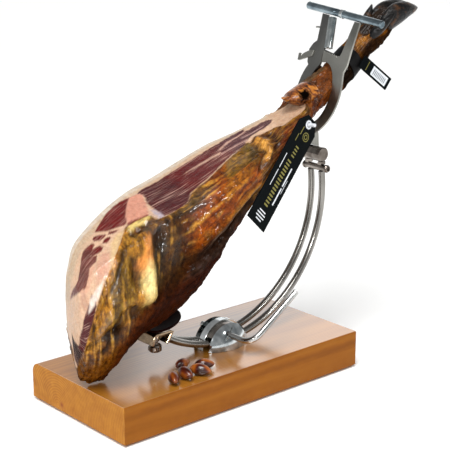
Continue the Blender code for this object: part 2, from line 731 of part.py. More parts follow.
def band_ring(share, grow):
    ring = ham_section(share)
    centre = sum(ring, Vector()) / len(ring)
    return [spot + (spot - centre).normalized() * grow for spot in ring]


def build_band(frame):
    """Black band round the ankle, a closed loop of strap."""
    bm = bmesh.new()
    place, width = 16.9, 0.3
    loops = []
    for share, grow in ((-width, 0.8), (width, 0.8), (width, 2.6), (-width, 2.6)):
        loops.append([bm.verts.new(spot) for spot in band_ring(place + share, grow * MM)])
    join_rings(bm, loops + [loops[0]])
    piece(bm, "ankle_band", BAND, frame, smooth=45)


def build_card(name, top, bottom, outline, thickness, look, frame, hole=None):
    """Flat card that hangs from top towards bottom; outline is (across, down) in millimetres."""
    down = (Vector(bottom) - Vector(top)).normalized()
    across = down.cross(Vector((0, 1, 0))).normalized()
    front = across.cross(down)
    turn = Matrix((across, down, front)).transposed().to_4x4()
    spot = Matrix.Translation(Vector(top) * MM) @ turn
    bm = bmesh.new()
    prism(bm, outline, -thickness / 2, thickness / 2)
    for vert in bm.verts:
        vert.co = spot @ Vector((vert.co.y * MM, vert.co.z * MM, vert.co.x * MM))
    card = piece(bm, name, look, frame)
    if hole is not None:
        bm = bmesh.new()
        rod(bm, spot @ Vector((0, 0, -9 * MM)), spot @ Vector((0, 0, 9 * MM)), hole * MM, 16)
        boolean(card, piece(bm, name + "_hole", look, frame), "DIFFERENCE")
    return spot


def build_tags(frame):
    half = 21
    outline = [(-9, -11), (9, -11), (half, 5), (half, 166), (-half, 166), (-half, 5)]
    spot = build_card(
        "shank_tag", (150, -60, 362), (33, -80, 244.5), outline, 1.0, CARD, frame, hole=3.4
    )
    bm = bmesh.new()
    profile = [(0, -12 * MM), (2.6 * MM, -12 * MM), (2.6 * MM, 0.9 * MM), (4.6 * MM, 0.9 * MM)]
    profile += [(4.2 * MM, 2.2 * MM), (2.4 * MM, 3.2 * MM), (0, 3.5 * MM)]
    turned(bm, profile, 16, spot)
    piece(bm, "tag_tie", TIE, frame, smooth=40)
    half = 10
    outline = [(-half, 0), (half, 0), (half, 62), (-half, 62)]
    build_card("ankle_tag", (281, -34, 434), (330, -44, 394), outline, 1.0, CARD, frame)


def main():
    clear_scene()
    arm = empty("arm_axis", Matrix.Translation((ARC_X, ARM_Y, ARC_Z)))
    lever_axis = empty("lever_axis", Matrix.Translation((BOLT_X, ARM_Y, BOLT_Z)))
    lean = Matrix.Rotation(CLAMP_LEAN, 4, "Y")
    pin = Matrix.Translation((CLAMP_X, CLAMP_Y, CLAMP_Z)) @ lean
    clamp = empty("clamp_frame", pin, arm)
    jaw_axis = empty("jaw_axis", pin, arm)

    build_board()
    build_cup("dome_cup_near", -1)
    build_cup("dome_cup_far", 1)
    build_fin()
    build_acorns()
    build_lever(lever_axis)
    build_rods(arm)
    build_rest(arm)
    build_head(arm)
    build_post(clamp)
    build_clamp(clamp, jaw_axis)
    build_ham(arm, clamp)
    build_band(arm)
    build_tags(arm)


main()
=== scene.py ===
import json
import math

import bmesh
import bpy
import numpy as np
from mathutils import Matrix, Vector, noise

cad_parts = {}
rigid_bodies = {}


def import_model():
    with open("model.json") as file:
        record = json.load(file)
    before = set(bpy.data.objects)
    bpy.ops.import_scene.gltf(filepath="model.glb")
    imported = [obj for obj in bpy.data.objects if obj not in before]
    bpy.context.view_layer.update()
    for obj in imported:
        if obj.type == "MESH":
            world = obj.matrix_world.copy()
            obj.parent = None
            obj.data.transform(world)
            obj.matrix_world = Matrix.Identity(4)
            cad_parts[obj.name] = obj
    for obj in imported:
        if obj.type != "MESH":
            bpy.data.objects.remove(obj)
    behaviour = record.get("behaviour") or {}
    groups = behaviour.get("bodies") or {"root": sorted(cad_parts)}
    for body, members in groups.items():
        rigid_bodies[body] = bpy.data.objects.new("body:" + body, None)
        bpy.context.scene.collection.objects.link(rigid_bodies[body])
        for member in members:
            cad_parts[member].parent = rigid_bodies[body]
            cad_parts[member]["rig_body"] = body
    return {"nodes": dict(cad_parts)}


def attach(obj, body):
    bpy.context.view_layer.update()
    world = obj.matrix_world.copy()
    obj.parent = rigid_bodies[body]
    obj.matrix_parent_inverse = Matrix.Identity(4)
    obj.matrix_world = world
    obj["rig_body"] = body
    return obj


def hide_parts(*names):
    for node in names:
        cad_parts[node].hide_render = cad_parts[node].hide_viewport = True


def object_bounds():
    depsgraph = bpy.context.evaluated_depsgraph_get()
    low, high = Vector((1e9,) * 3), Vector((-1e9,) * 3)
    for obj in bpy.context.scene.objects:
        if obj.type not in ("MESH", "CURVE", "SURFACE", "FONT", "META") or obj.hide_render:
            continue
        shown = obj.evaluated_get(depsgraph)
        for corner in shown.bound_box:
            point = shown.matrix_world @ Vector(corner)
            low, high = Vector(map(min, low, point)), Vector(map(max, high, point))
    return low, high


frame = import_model()
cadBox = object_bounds()
nodes = frame["nodes"]
mm = 0.001
print("frame loaded:", len(nodes), "nodes")


def toLinear(hexColour):
    parts = [int(hexColour[i:i + 2], 16) / 255 for i in (1, 3, 5)]
    return [p / 12.92 if p <= 0.04045 else ((p + 0.055) / 1.055) ** 2.4 for p in parts] + [1.0]


def newMaterial(name):
    made = bpy.data.materials.new(name)
    made.use_nodes = True
    return made, made.node_tree.nodes["Principled BSDF"]


# fills a node's sockets; a socket given as a value is linked
def setSockets(made, node, values):
    for name, value in values.items():
        if isinstance(value, bpy.types.NodeSocket):
            made.node_tree.links.new(value, node.inputs[name])
        else:
            node.inputs[name].default_value = value


# adds one shader node; stops are for a colour ramp
def addNode(made, kind, values=None, stops=(), **settings):
    node = made.node_tree.nodes.new("ShaderNode" + kind)
    for name, value in settings.items():
        setattr(node, name, value)
    setSockets(made, node, values or {})
    if stops:
        ramp = node.color_ramp
        while len(ramp.elements) < len(stops):
            ramp.elements.new(0.5)
        for element, (place, tint) in zip(ramp.elements, stops):
            element.position = place
            element.color = toLinear(tint) if isinstance(tint, str) else (tint, tint, tint, 1)
    return node


# the nodes that most materials use, each giving back its result
def noiseOf(made, vector, scale, detail, **more):
    values = {"Vector": vector, "Scale": scale, "Detail": detail, **more}
    return addNode(made, "TexNoise", values).outputs["Fac"]


def rampOf(made, value, stops):
    return addNode(made, "ValToRGB", {"Fac": value}, stops).outputs["Color"]


def mathOf(made, operation, first, second):
    return addNode(made, "Math", {0: first, 1: second}, operation=operation).outputs[0]


def rangeOf(made, value, low, high):
    return addNode(made, "MapRange", {"Value": value, "To Min": low, "To Max": high}).outputs["Result"]


def mixOf(made, factor, first, second):
    return addNode(made, "Mix", {"Factor": factor, 2: first, 3: second}).outputs[0]


def tintOf(made, factor, first, second, blend="MIX"):
    values = {"Factor": factor, 6: first, 7: second}
    return addNode(made, "Mix", values, data_type="RGBA", blend_type=blend).outputs[2]


def bumpOf(made, height, strength, distance):
    return addNode(made, "Bump", {"Height": height, "Strength": strength, "Distance": distance}).outputs["Normal"]


def objectSpace(made, scale=(1, 1, 1), turn=(0, 0, 0), shift=(0, 0, 0)):
    place = addNode(made, "TexCoord")
    values = {"Vector": place.outputs["Object"], "Scale": scale, "Rotation": turn, "Location": shift}
    return addNode(made, "Mapping", values).outputs["Vector"]


def linked(name, data):
    made = bpy.data.objects.new(name, data)
    bpy.context.scene.collection.objects.link(made)
    return made


def finishPiece(mesh, body, made, replaced=(), smooth=True):
    piece = linked(mesh.name, mesh)
    mesh.materials.append(made)
    for polygon in mesh.polygons:
        polygon.use_smooth = smooth
    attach(piece, body)
    if replaced:
        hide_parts(*replaced)


def toMesh(bm, name):
    mesh = bpy.data.meshes.new(name)
    bm.to_mesh(mesh)
    bm.free()
    return mesh


# normals outwards, and edges steeper than the angle kept sharp
def meshFrom(bm, name, sharp=35):
    bmesh.ops.recalc_face_normals(bm, faces=bm.faces)
    bm.normal_update()
    for edge in bm.edges:
        edge.smooth = edge.calc_face_angle(0) < math.radians(sharp)
    return toMesh(bm, name)


def vertsOf(parts):
    return [item for item in parts if isinstance(item, bmesh.types.BMVert)]


# a flat ring between two radii in millimetres
def flatRing(bm, outer, inner, sides, place):
    loops = []
    for radius in (outer, inner):
        verts = bmesh.ops.create_circle(bm, segments=sides, radius=radius * mm, matrix=place)["verts"]
        loops += list({line for vert in verts for line in vert.link_edges})
    bmesh.ops.bridge_loops(bm, edges=loops)


# a copy of a part's own shape with rounded shading and eased edges
def easedCopy(name, piece, made, edge):
    bm = bmesh.new()
    bm.from_mesh(nodes[name].data)
    bmesh.ops.remove_doubles(bm, verts=bm.verts, dist=0.01 * mm)
    bmesh.ops.dissolve_limit(bm, angle_limit=math.radians(0.5), verts=bm.verts, edges=bm.edges)
    if edge:
        steep = [item for item in bm.edges if item.calc_face_angle(0) > math.radians(60)]
        bmesh.ops.bevel(bm, geom=steep, offset=edge * mm, segments=1, profile=0.5, affect="EDGES",
                        clamp_overlap=True, material=-1)
    finishPiece(meshFrom(bm, piece, 30), nodes[name]["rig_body"], made, (name,))


# a round pulled along stations of x, y, z, half width along the side axis and half height, in millimetres
def pulledRound(name, stations, side, steps, sides=20, sharp=50):
    rows = smoothThrough(np.array(stations, float), np.linspace(0, len(stations) - 1, steps))
    runs = np.gradient(rows[:, :3], axis=0)
    side = Vector(side)
    bm = bmesh.new()
    bmesh.ops.create_circle(bm, cap_ends=True, segments=sides, radius=1)
    turn = bm.verts.layers.float.new("turn")
    for vert in bm.verts:
        vert[turn] = math.atan2(vert.co.y, vert.co.x)
    ring, face = list(bm.verts), bm.faces[:][0]
    for place, (row, run) in enumerate(zip(rows, runs)):
        if place:
            # the last ring's face would stay inside, so it goes once it isn't the end cap
            last = face
            grown = bmesh.ops.extrude_face_region(bm, geom=[face])["geom"]
            ring = vertsOf(grown)
            face = [item for item in grown if isinstance(item, bmesh.types.BMFace)][0]
            if place > 1 and last.is_valid:
                bmesh.ops.delete(bm, geom=[last], context="FACES_ONLY")
        up = Vector(run).normalized().cross(side).normalized()
        for vert in ring:
            offset = side * math.cos(vert[turn]) * row[3] + up * math.sin(vert[turn]) * row[4]
            vert.co = (Vector(row[:3]) + offset) * mm
    return meshFrom(bm, name, sharp)


# the ham: a leg lofted through the same sections as the solid
# upper x, upper z, lower x, lower z, half width, centre y, carved share
hamLeg = {
    "sections": (
        (-221, 204, -214, 66, 38, -14, 1), (-205, 231, -195, 57, 53, -14, 1),
        (-176, 251, -177, 59.5, 63, -15, 1), (-142, 269, -164, 79, 70, -15, 1),
        (-103, 285, -137, 98, 73, -15, 1), (-55, 298, -96, 113, 74, -15, 1),
        (-11, 314, -61, 141, 73, -15, 1), (35, 331, -42, 176, 68, -15, 1),
        (75, 342, -10, 207, 60, -15, 1), (107, 353, 36, 247, 52, -15, 1),
        (138, 364, 72, 281, 45, -15, 0.9), (164, 374, 100, 311, 40, -15, 0.6),
        (180, 385, 122, 326, 37, -14, 0.2), (190, 396, 151, 341, 34, -12, 0),
        (200, 406, 188, 361, 30, -9, 0), (216, 414, 224, 377, 26, -6, 0),
        (242, 428, 259, 390, 22, -6, 0), (269, 447, 286, 414, 21, -8, 0),
        (297, 469, 313, 436, 20, -9, 0), (321, 487, 335, 450, 20, -11, 0),
        (345, 503, 356, 475, 21, -13, 0),
    ),
    "sides": 236,
    "rings": 330,
    "carveTilt": 0.13,
    "buttSkew": 0.35,
    "keel": 1.1,
}


def smoothThrough(rows, share):
    low = np.clip(np.floor(share).astype(int), 0, len(rows) - 2)
    t = (share - low)[:, None]
    p, a = rows[np.maximum(low - 1, 0)], rows[low]
    b, q = rows[low + 1], rows[np.minimum(low + 2, len(rows) - 1)]
    return 0.5 * (2 * a + (b - p) * t + (2 * p - 5 * a + 4 * b - q) * t ** 2 + (3 * a - p - 3 * b + q) * t ** 3)


# a point of the leg's skin; share runs from the butt to the fetlock, turn from the top towards the far side
def legSkin(share, turn):
    rows = np.array(hamLeg["sections"], float)
    ux, uz, lx, lz, width, centre, carved = smoothThrough(rows, np.clip(share, 0, len(rows) - 1)).T
    carved = np.clip(carved, 0, 1)
    c, s = np.cos(turn), np.sin(turn)
    across = np.sign(s) * np.abs(s) ** (0.9 + np.where(c < 0, hamLeg["keel"] * carved, 0))
    rise = np.sign(c) * np.abs(c) ** 0.9
    rise = np.where(rise > 0, rise * (1 + 0.28 * carved), rise)
    flat = 1 + hamLeg["carveTilt"] * across * carved
    rise = np.where(carved > 0.05, np.minimum(rise, flat), rise)
    skew = hamLeg["buttSkew"] * np.maximum(1 - np.maximum(share, 0) / 5, 0) * across * width
    x = (ux + lx) / 2 + (ux - lx) / 2 * rise + skew
    z = (uz + lz) / 2 + (uz - lz) / 2 * rise
    return np.stack([x, centre + across * width, z], 1) * mm


def legPoints(share, turn):
    points = legSkin(share, turn)
    around = np.linspace(0, 2 * math.pi, 48, endpoint=False)
    for end, inside, bulge in ((0, share < 0, (-7, 0, 0)), (20, share > 20, (8, 0, 6))):
        middle = legSkin(np.full(48, float(end)), around).mean(0)
        reach = np.clip(1 - np.abs(share - end), 0, 1)[:, None]
        capped = middle + (points - middle) * reach + np.array(bulge) * mm * (1 - reach ** 3.4)
        points = np.where(inside[:, None], capped, points)
    return points


# millimetres along the skin for one share and for one degree
chartStretch = np.array([38.0, 1.35])


def edgeDistance(spots, starts, ends):
    nearest = np.full(len(spots), 1e9)
    for a, b in zip(starts, ends):
        edge = b - a
        t = np.clip((spots - a) @ edge / max(edge @ edge, 1e-9), 0, 1)[:, None]
        nearest = np.minimum(nearest, np.linalg.norm(spots - a - t * edge, axis=1))
    return nearest


# signed distance in millimetres to an outline drawn in (share, degrees), positive inside it
def outlineDistance(share, degrees, outline):
    spots = np.stack([share, degrees], 1) * chartStretch
    corners = np.array(outline, float) * chartStretch
    ends = np.roll(corners, -1, 0)
    inside = np.zeros(len(spots), bool)
    for a, b in zip(corners, ends):
        run, rise = b - a
        crosses = (a[1] > spots[:, 1]) != (b[1] > spots[:, 1])
        slope = run / (rise if abs(rise) > 1e-9 else 1e-9)
        inside ^= crosses & (spots[:, 0] < a[0] + (spots[:, 1] - a[1]) * slope)
    nearest = edgeDistance(spots, corners, ends)
    return np.where(inside, nearest, -nearest)


def lineDistance(share, degrees, line):
    corners = np.array(line, float) * chartStretch
    return edgeDistance(np.stack([share, degrees], 1) * chartStretch, corners[:-1], corners[1:])


def fadeIn(distance, soft):
    t = np.clip(distance / soft + 0.5, 0, 1)
    return t * t * (3 - 2 * t)


# outlines in (share, degrees); the near side is at negative degrees
carvedFace = {
    "outline": (
        (-1.2, -185), (-0.3, -185), (-0.22, -160), (-0.2, -125), (0.02, -96), (0.45, -86),
        (0.8, -76), (1.05, -69), (1.4, -60), (1.9, -50), (2.15, -40), (2.45, -30), (2.7, -20), (2.9, -12), (3.0, -13),
        (3.5, -15), (3.75, -22), (3.82, -34), (4.05, -38), (4.5, -37), (4.85, -33), (5.15, -22), (5.5, -19),
        (6.0, -19), (6.5, -15), (7, -11), (7.5, -8), (8, -3), (8.5, -3), (9, -5), (9.5, -10), (9.7, -18),
        (10.5, -20), (11.2, -24), (11.7, -20), (11.8, 10), (11.4, 30), (8, 47), (4, 48), (2, 54), (1, 64),
        (0, 82), (-0.4, 105), (-0.6, 150), (-0.62, 185), (-1.2, 185),
    ),
    "lean": (
        ((-0.35, -3), (-0.2, -25), (0, -47), (0.3, -48), (0.48, -52), (0.66, -49), (0.85, -38), (1, -29),
         (1.35, -28), (1.5, -19), (1.3, -12), (1.5, -5), (1.72, 0), (1.62, 4), (1.2, 5), (0.9, -2),
         (0.55, -12), (0.35, -19), (0, -20), (-0.15, -10)),
        ((1.3, -12), (1.55, -17), (1.75, -18), (1.88, -14), (1.85, -8), (1.6, -5), (1.4, -7)),
        ((1.92, -7), (2.05, -12), (2.28, -11), (2.32, -7), (2.1, -4)),
        ((2.3, -3), (2.45, -8), (2.68, -8.5), (2.55, -4), (2.4, -1)),
        ((1.75, 3), (1.95, -2), (2.25, -2), (2.1, 4), (1.9, 10), (1.75, 9)),
        ((2, 14), (2.3, 3), (2.55, -2), (2.8, -5), (2.95, -8), (3.1, -6), (3.3, 2), (3.6, 12), (3.85, 20),
         (3.7, 24), (3.3, 26), (2.9, 25), (2.4, 20)),
        ((3, -13), (3.4, -15.5), (3.7, -20), (3.75, -17), (3.5, -13), (3.2, -9.5), (3.02, -9)),
        ((4.05, -36), (4.5, -37), (4.85, -32), (5.15, -21), (5.6, -18), (6.2, -15), (7, -9), (7.9, -4),
         (7.9, 0), (8.5, 4), (9.2, 3), (9.6, 6), (9.8, 12), (9.6, 20), (9.1, 20), (8.4, 20), (8.5, 28),
         (7.9, 27), (7.3, 23), (6.5, 21.5), (5.5, 22), (4.3, 21.5), (4.1, 18), (4.2, 12), (4.05, 0), (4, -12)),
        ((-0.5, -150), (-0.24, -150), (-0.22, -125), (0, -97), (0.42, -87), (0.8, -77), (0.98, -66),
         (0.75, -61), (0.5, -67), (0.15, -74), (-0.16, -86), (-0.45, -112)),
    ),
}

# tints laid over each other in this order: colour, edge softness in millimetres, strength, outline
rindTints = (
    ("#8a5818", 24, 0.85, ((-0.7, -200), (-0.7, -94), (0.3, -102), (1.7, -100), (2, -150), (1.6, -200))),
    # the next two, the dark underside: the rind's own darker colour, deepened as painted shade
    ("#5c2c12", 20, 0.9, ((1.5, -205), (1.9, -98), (3, -90), (4.2, -80), (5.2, -76), (6.4, -80), (7.9, -90),
        (8, -205))),
    ("#3a1608", 18, 0.9, ((2, -205), (2.5, -112), (3.4, -104), (4.4, -92), (5.4, -88), (7.9, -96), (8, -205))),
    ("#d29c3c", 16, 0.9, ((0, -98), (0.3, -100), (1, -92), (2.8, -90), (3.3, -82), (3, -50), (2.9, -20), (2.7, -14),
        (2.2, -36), (1.6, -54), (0.8, -74), (0.1, -88))),
    ("#7c6a22", 12, 0.7, ((1.3, -88), (2.7, -86), (2.7, -62), (2.3, -52), (1.7, -58))),
    ("#e0a04a", 7, 0.95, ((1.45, -60), (1.9, -54), (2.35, -38), (2.75, -22), (2.85, -13), (2.7, -17), (2.2, -36),
        (1.7, -50))),
    ("#8a6a24", 10, 0.7, ((2.1, -54), (2.9, -52), (2.95, -28), (2.7, -24))),
    ("#f0a050", 6, 1.0, ((2.6, -64), (2.86, -72), (3.14, -78), (3.28, -65), (3.3, -50), (3.12, -50), (2.95, -58))),
    ("#fff0ac", 13, 1.0, ((2.86, -74), (2.96, -82), (3.1, -87.5), (3.34, -87), (3.36, -76), (3.14, -64))),
    ("#4d4f36", 9, 0.85, ((3.4, -88), (3.8, -90), (3.95, -60), (3.6, -54), (3.38, -64))),
    ("#6a5030", 12, 0.7, ((3.7, -90), (4.6, -88), (4.7, -72), (4.6, -52), (4, -55))),
    ("#ac5608", 14, 0.9, ((4.5, -74), (5.6, -76), (7, -74), (7.9, -74), (8, -40), (7.4, -10), (6.4, -16), (5.4, -22),
        (5, -45), (4.5, -52))),
    ("#6b5a34", 12, 0.75, ((4.2, -50), (5, -50), (5.6, -38), (6, -28), (5.3, -24), (4.8, -36), (4.2, -40))),
    ("#8f7a2a", 12, 0.75, ((6.2, -46), (7.2, -44), (7.9, -28), (7.9, -8), (7, -12), (6.4, -22))),
    ("#5c4a12", 10, 0.85, ((7.1, -54), (7.6, -54), (7.95, -30), (7.8, -16), (7.4, -24))),
    ("#b8781c", 10, 0.8, ((6, -60), (6.9, -62), (7.4, -50), (6.8, -44), (6.1, -48))),
    ("#f2b860", 9, 0.95, ((7.8, -62), (8.2, -56), (8.6, -22), (8.55, -4), (8.1, -8), (7.95, -40))),
    ("#7a4a28", 12, 0.85, ((8.3, -80), (9.1, -60), (9.5, -40), (9.4, -12), (8.7, -6), (8.6, -40))),
    ("#3a3132", 9, 0.85, ((4.6, -92), (7.7, -94), (8, -82), (7, -80), (5, -80))),
    ("#94888a", 5, 0.7, ((5.3, -83), (6.6, -82), (8, -82), (8, -78), (6.6, -79), (5.6, -80))),
    ("#8a3e10", 14, 0.9, ((8.8, -110), (9, -56), (9.5, -30), (10.6, -30), (11.6, -50), (13, -90), (13, -150),
        (10, -170))),
    ("#e9c89c", 5, 0.85, ((5.15, -23), (5.9, -20.5), (6.6, -17.5), (6.6, -15.5), (5.9, -18), (5.3, -20))),
    ("#f4dc8c", 5, 1.0, ((2.85, -22), (3, -27), (3.4, -29.5), (3.7, -26), (3.68, -20), (3.4, -15.5), (3, -14),
        (2.9, -17))),
)

fatTints = (
    ("#c9b49c", 14, 0.9, ((-0.5, 0), (0.4, 2), (1, 8), (2, 14), (3, 24), (4, 23), (8, 24), (11, 20), (11, 60),
        (4, 60), (0, 90), (-0.5, 90))),
    ("#d6cdc2", 8, 0.9, ((0, 24), (4, 27), (8, 30), (11, 30), (11, 60), (4, 60), (0, 90))),
    ("#d3a390", 9, 0.8, ((1, -58), (1.6, -58), (1.9, -34), (1.75, -20), (1.4, -30), (1.2, -44))),
    ("#e2c596", 8, 0.9, ((1.7, -56), (2.1, -42), (2.5, -28), (2.8, -14), (2.5, -12), (2.1, -18), (1.9, -38))),
    ("#d8a08c", 10, 0.55, ((0.2, -60), (0.9, -52), (1.2, -36), (1, -26), (0.5, -46), (0.1, -44))),
    ("#5e3c3e", 6, 0.85, ((-0.95, -150), (-0.5, -104), (-0.2, -104), (-0.22, -130), (-0.4, -165))),
)

# these lie over the lean; the first is the bone
overTints = (
    ("#d59a86", 3, 1.0, ((3.05, -9), (3.4, -13), (3.75, -18), (3.85, -12), (4, -2), (4.2, 12), (4.1, 18), (3.8, 20),
        (3.5, 11), (3.2, 0))),
    ("#b7b0c4", 4, 0.9, ((3.85, -38), (3.95, -40), (4.05, -30), (4.02, -20), (3.95, -10), (3.88, -22))),
    ("#c9a98f", 12, 0.9, ((9.4, -16), (10.5, -22), (11.6, -22), (11.6, 34), (9.8, 34), (9.9, 10))),
    ("#dcb8a4", 3, 0.85, ((5.6, 8), (6.2, 5), (6.9, 2.6), (6.95, 5), (6.2, 7.5))),
    ("#cfa9a0", 2.5, 0.8, ((6.9, 1), (8.1, 1), (8.1, 2.6), (6.9, 2.6))),
    ("#d8b3a4", 2.5, 0.8, ((7, 8), (7.6, 14), (8.4, 19), (8.4, 21.5), (7.5, 17), (7, 11))),
    ("#c9a8a4", 2.5, 0.7, ((8, 8.5), (9.2, 7), (9.2, 9), (8, 11))),
    ("#24100e", 8, 0.95, ((-0.9, -150), (-0.3, -150), (-0.12, -118), (-0.1, -104), (-0.4, -104), (-0.9, -120))),
    ("#c9a28c", 7, 0.8, ((0.1, -52), (0.5, -58), (0.6, -66), (0.3, -70), (0, -60))),
    # painted highlight: a near white patch on the cut face where light glints
    ("#f0e8e0", 5, 0.95, ((0.5, -72), (0.8, -70), (1.1, -66), (1.35, -58), (1.1, -60), (0.6, -64))),
)

shankTints = (
    ("#8c501c", 16, 0.95, ((11.6, -20), (11.9, -80), (12.6, -120), (16, -120), (16.2, 60), (13, 120), (11.7, 60))),
    ("#7c4020", 9, 0.8, ((12, -90), (12.4, -120), (14.6, -120), (14.6, -92), (13, -66), (12.2, -62))),
    # the next two: painted shade in the hollow at the hock
    ("#24150e", 6, 0.9, ((12, -20), (12.5, -24), (12.6, -12), (12.2, -8))),
    ("#1c1614", 7, 0.92, ((13, -20), (13.8, -24), (14.6, -14), (14, -2), (13.3, -4))),
    ("#6e5f48", 12, 0.8, ((13.4, 4), (15.8, 0), (15.8, 60), (13.8, 60))),
    ("#5a2c14", 12, 0.8, ((12.2, 14), (13.2, 8), (13.6, 40), (12.8, 60))),
    ("#181210", 8, 0.95, ((15.9, -180), (15.9, -60), (16.6, -30), (17.2, -30), (17.3, -180))),
    ("#181210", 8, 0.95, ((15.9, 180), (15.9, 40), (17.3, 40), (17.3, 180))),
    ("#b07628", 8, 0.9, ((17.25, -60), (17.9, -64), (18.4, -40), (18, -10), (17.5, -14))),
    ("#2a1a12", 12, 0.85, ((17.3, -180), (17.4, -70), (18.2, -70), (18.6, -30), (21.5, -30), (21.5, -180))),
    ("#17120f", 12, 0.9, ((18.8, -40), (18.5, 180), (21.5, 180), (21.5, -40))),
    ("#120d0b", 7, 0.9, ((17.9, -38), (18.2, -44), (18.7, -50), (19.1, -44), (19.2, 10), (18.2, 10))),
    ("#e6ac58", 7, 0.95, ((17.3, -48), (17.7, -56), (18, -44), (17.9, -30), (17.5, -26))),
    ("#a8702a", 6, 0.8, ((18.3, -78), (18.7, -86), (19.3, -98), (19.2, -80), (18.6, -66))),
    # painted shadow on the leg under the hock flap
    ("#060404", 5, 0.95, ((12.5, -22), (12.6, -2), (12.95, 2), (13.1, -12), (12.9, -24))),
    ("#4a1c10", 8, 0.8, ((12.1, -50), (12.6, -70), (13.4, -64), (13.2, -40), (12.4, -34))),
)


# the dry, dull underside
underside = ((-1.2, -205), (-1.2, -150), (1, -112), (2.2, -98), (3, -88), (4.2, -76), (5.2, -70), (6.4, -76),
             (7.9, -86), (10, -90), (22, -60), (22, -205))


# the carved face turns matt where it narrows to the toe
dullToe = ((-1.2, -175), (-0.1, -160), (0.1, -92), (-0.2, -86), (-1.2, -86))

# where melted fat has pooled and shines
wetSpots = (
    ((1.3, -50), (1.6, -46), (2.15, -56), (1.8, -76), (1.2, -93), (0.75, -94), (1.1, -76), (1.4, -62)),
    ((3.1, -56), (3.3, -38), (3.95, -44), (3.9, -66), (3.5, -68)),
    ((6.2, -30), (6.5, -18), (8, -6), (8, -22), (7, -36)),
    ((2.85, -26), (3.7, -26), (3.75, -40), (2.95, -40)),
    ((4.6, -42), (5.2, -30), (6, -34), (5.6, -56), (4.8, -56)),
    ((12.3, -130), (12.5, -90), (13.6, -80), (14.4, -90), (14.4, -130)),
)


# the pale knob, its bright top and the fat ridge beside the cut stay even
calmOutlines = (rindTints[7][3], rindTints[8][3], rindTints[-1][3])

# folds and knobs: height and width in millimetres, then the line in (share, degrees)
reliefLines = (
    (7, 11, ((3.05, -52), (3.15, -66), (3.3, -80), (3.36, -87))),
    (-4, 9, ((3.6, -56), (3.68, -70), (3.72, -86))),
    (-3.5, 9, ((2.5, -54), (2.7, -68), (2.95, -80))),
    (-4.5, 4, ((0.2, -98), (0.9, -93), (1.9, -91), (2.3, -86), (2.8, -91), (3.6, -92))),
    (-3, 4, ((2, -86), (1.6, -96), (1.1, -106))),
    (3, 6, ((1.1, -86), (2, -80), (2.6, -83), (3.3, -87))),
    (2.5, 5, ((0.1, -91), (0.6, -80), (1.15, -72), (1.55, -62), (2.05, -52), (2.35, -38), (2.65, -24))),
    (-2.5, 5, ((0.5, -88), (1, -80), (1.5, -71), (1.95, -62), (2.3, -50), (2.6, -36), (2.8, -26))),
    (3, 8, ((0.9, -90), (1.4, -80), (1.9, -72), (2.3, -62), (2.5, -50))),
    (2.5, 4, ((4.9, -39), (5.15, -27), (6, -22.5), (7, -15), (8, -8))),
    (-3, 10, ((4.2, -92), (4.5, -74), (4.6, -60), (4.4, -50))),
    (-2.5, 5, ((7.75, -60), (7.95, -40), (8, -20), (8.05, -6))),
    (2.5, 6, ((8.15, -60), (8.3, -40), (8.4, -20), (8.4, -5))),
    (-3, 4, ((4.6, -84), (5.5, -85), (6.6, -84), (8, -84))),
    (1.5, 4, ((5, -79), (6.6, -78), (8, -77))),
    (-3, 9, ((8.8, -50), (8.9, -28), (9, -14))),
    (3, 6, ((2.95, -20), (3.2, -26), (3.6, -25))),
    (-7, 9, ((13.2, -14), (13.9, -12), (14.3, -8))),
    (2.5, 6, ((11.8, -60), (11.75, -30), (11.8, -5), (11.8, 30))),
    (-2, 5, ((12.4, -110), (12.9, -84), (13.6, -70))),
    (-2, 4, ((12.9, -120), (13.4, -92), (14.2, -78))),
)


def fieldNoise(points, size, seed, octaves=3):
    shift = Vector((seed * 3.17, seed * 1.31, seed * 7.7))
    scale = 1 / (size * mm)
    return np.array([noise.fractal(Vector(p) * scale + shift, 1.0, 2.0, octaves) for p in points])


def mixTint(paint, tint, amount):
    return paint + (np.array(toLinear(tint)[:3]) - paint) * np.clip(amount, 0, 1)[:, None]


# a flat grid rolled round the leg, with its place kept as (share, degrees)
def buildHamLeg():
    bm = bmesh.new()
    bmesh.ops.create_grid(bm, x_segments=hamLeg["rings"], y_segments=hamLeg["sides"], size=0.5, calc_uvs=False)
    flat = np.array([vert.co for vert in bm.verts])
    flat = (flat - flat.min(0)) / np.maximum(flat.max(0) - flat.min(0), 1e-9)
    share = -1 + 22 * flat[:, 0]
    degrees = -180 + 360 * flat[:, 1]
    points = legPoints(share, np.radians(degrees))
    chart = bm.verts.layers.float_vector.new("chart")
    for vert, spot, s, d in zip(bm.verts, points, share, degrees):
        vert.co = spot
        vert[chart] = (s, d, 0)
    bmesh.ops.remove_doubles(bm, verts=bm.verts, dist=0.02 * mm)
    bmesh.ops.recalc_face_normals(bm, faces=bm.faces)
    return toMesh(bm, "hamLeg")


# lays a table of tints over a colour, its outlines made uneven by the wobble
def layTints(paint, share, degrees, tints, wobble):
    for tint, soft, strength, outline in tints:
        distance = outlineDistance(share, degrees, outline) + wobble * soft
        paint = mixTint(paint, tint, strength * fadeIn(distance, soft))
    return paint


def evenTint(tint, count):
    return np.tile(np.array(toLinear(tint)[:3]), (count, 1))


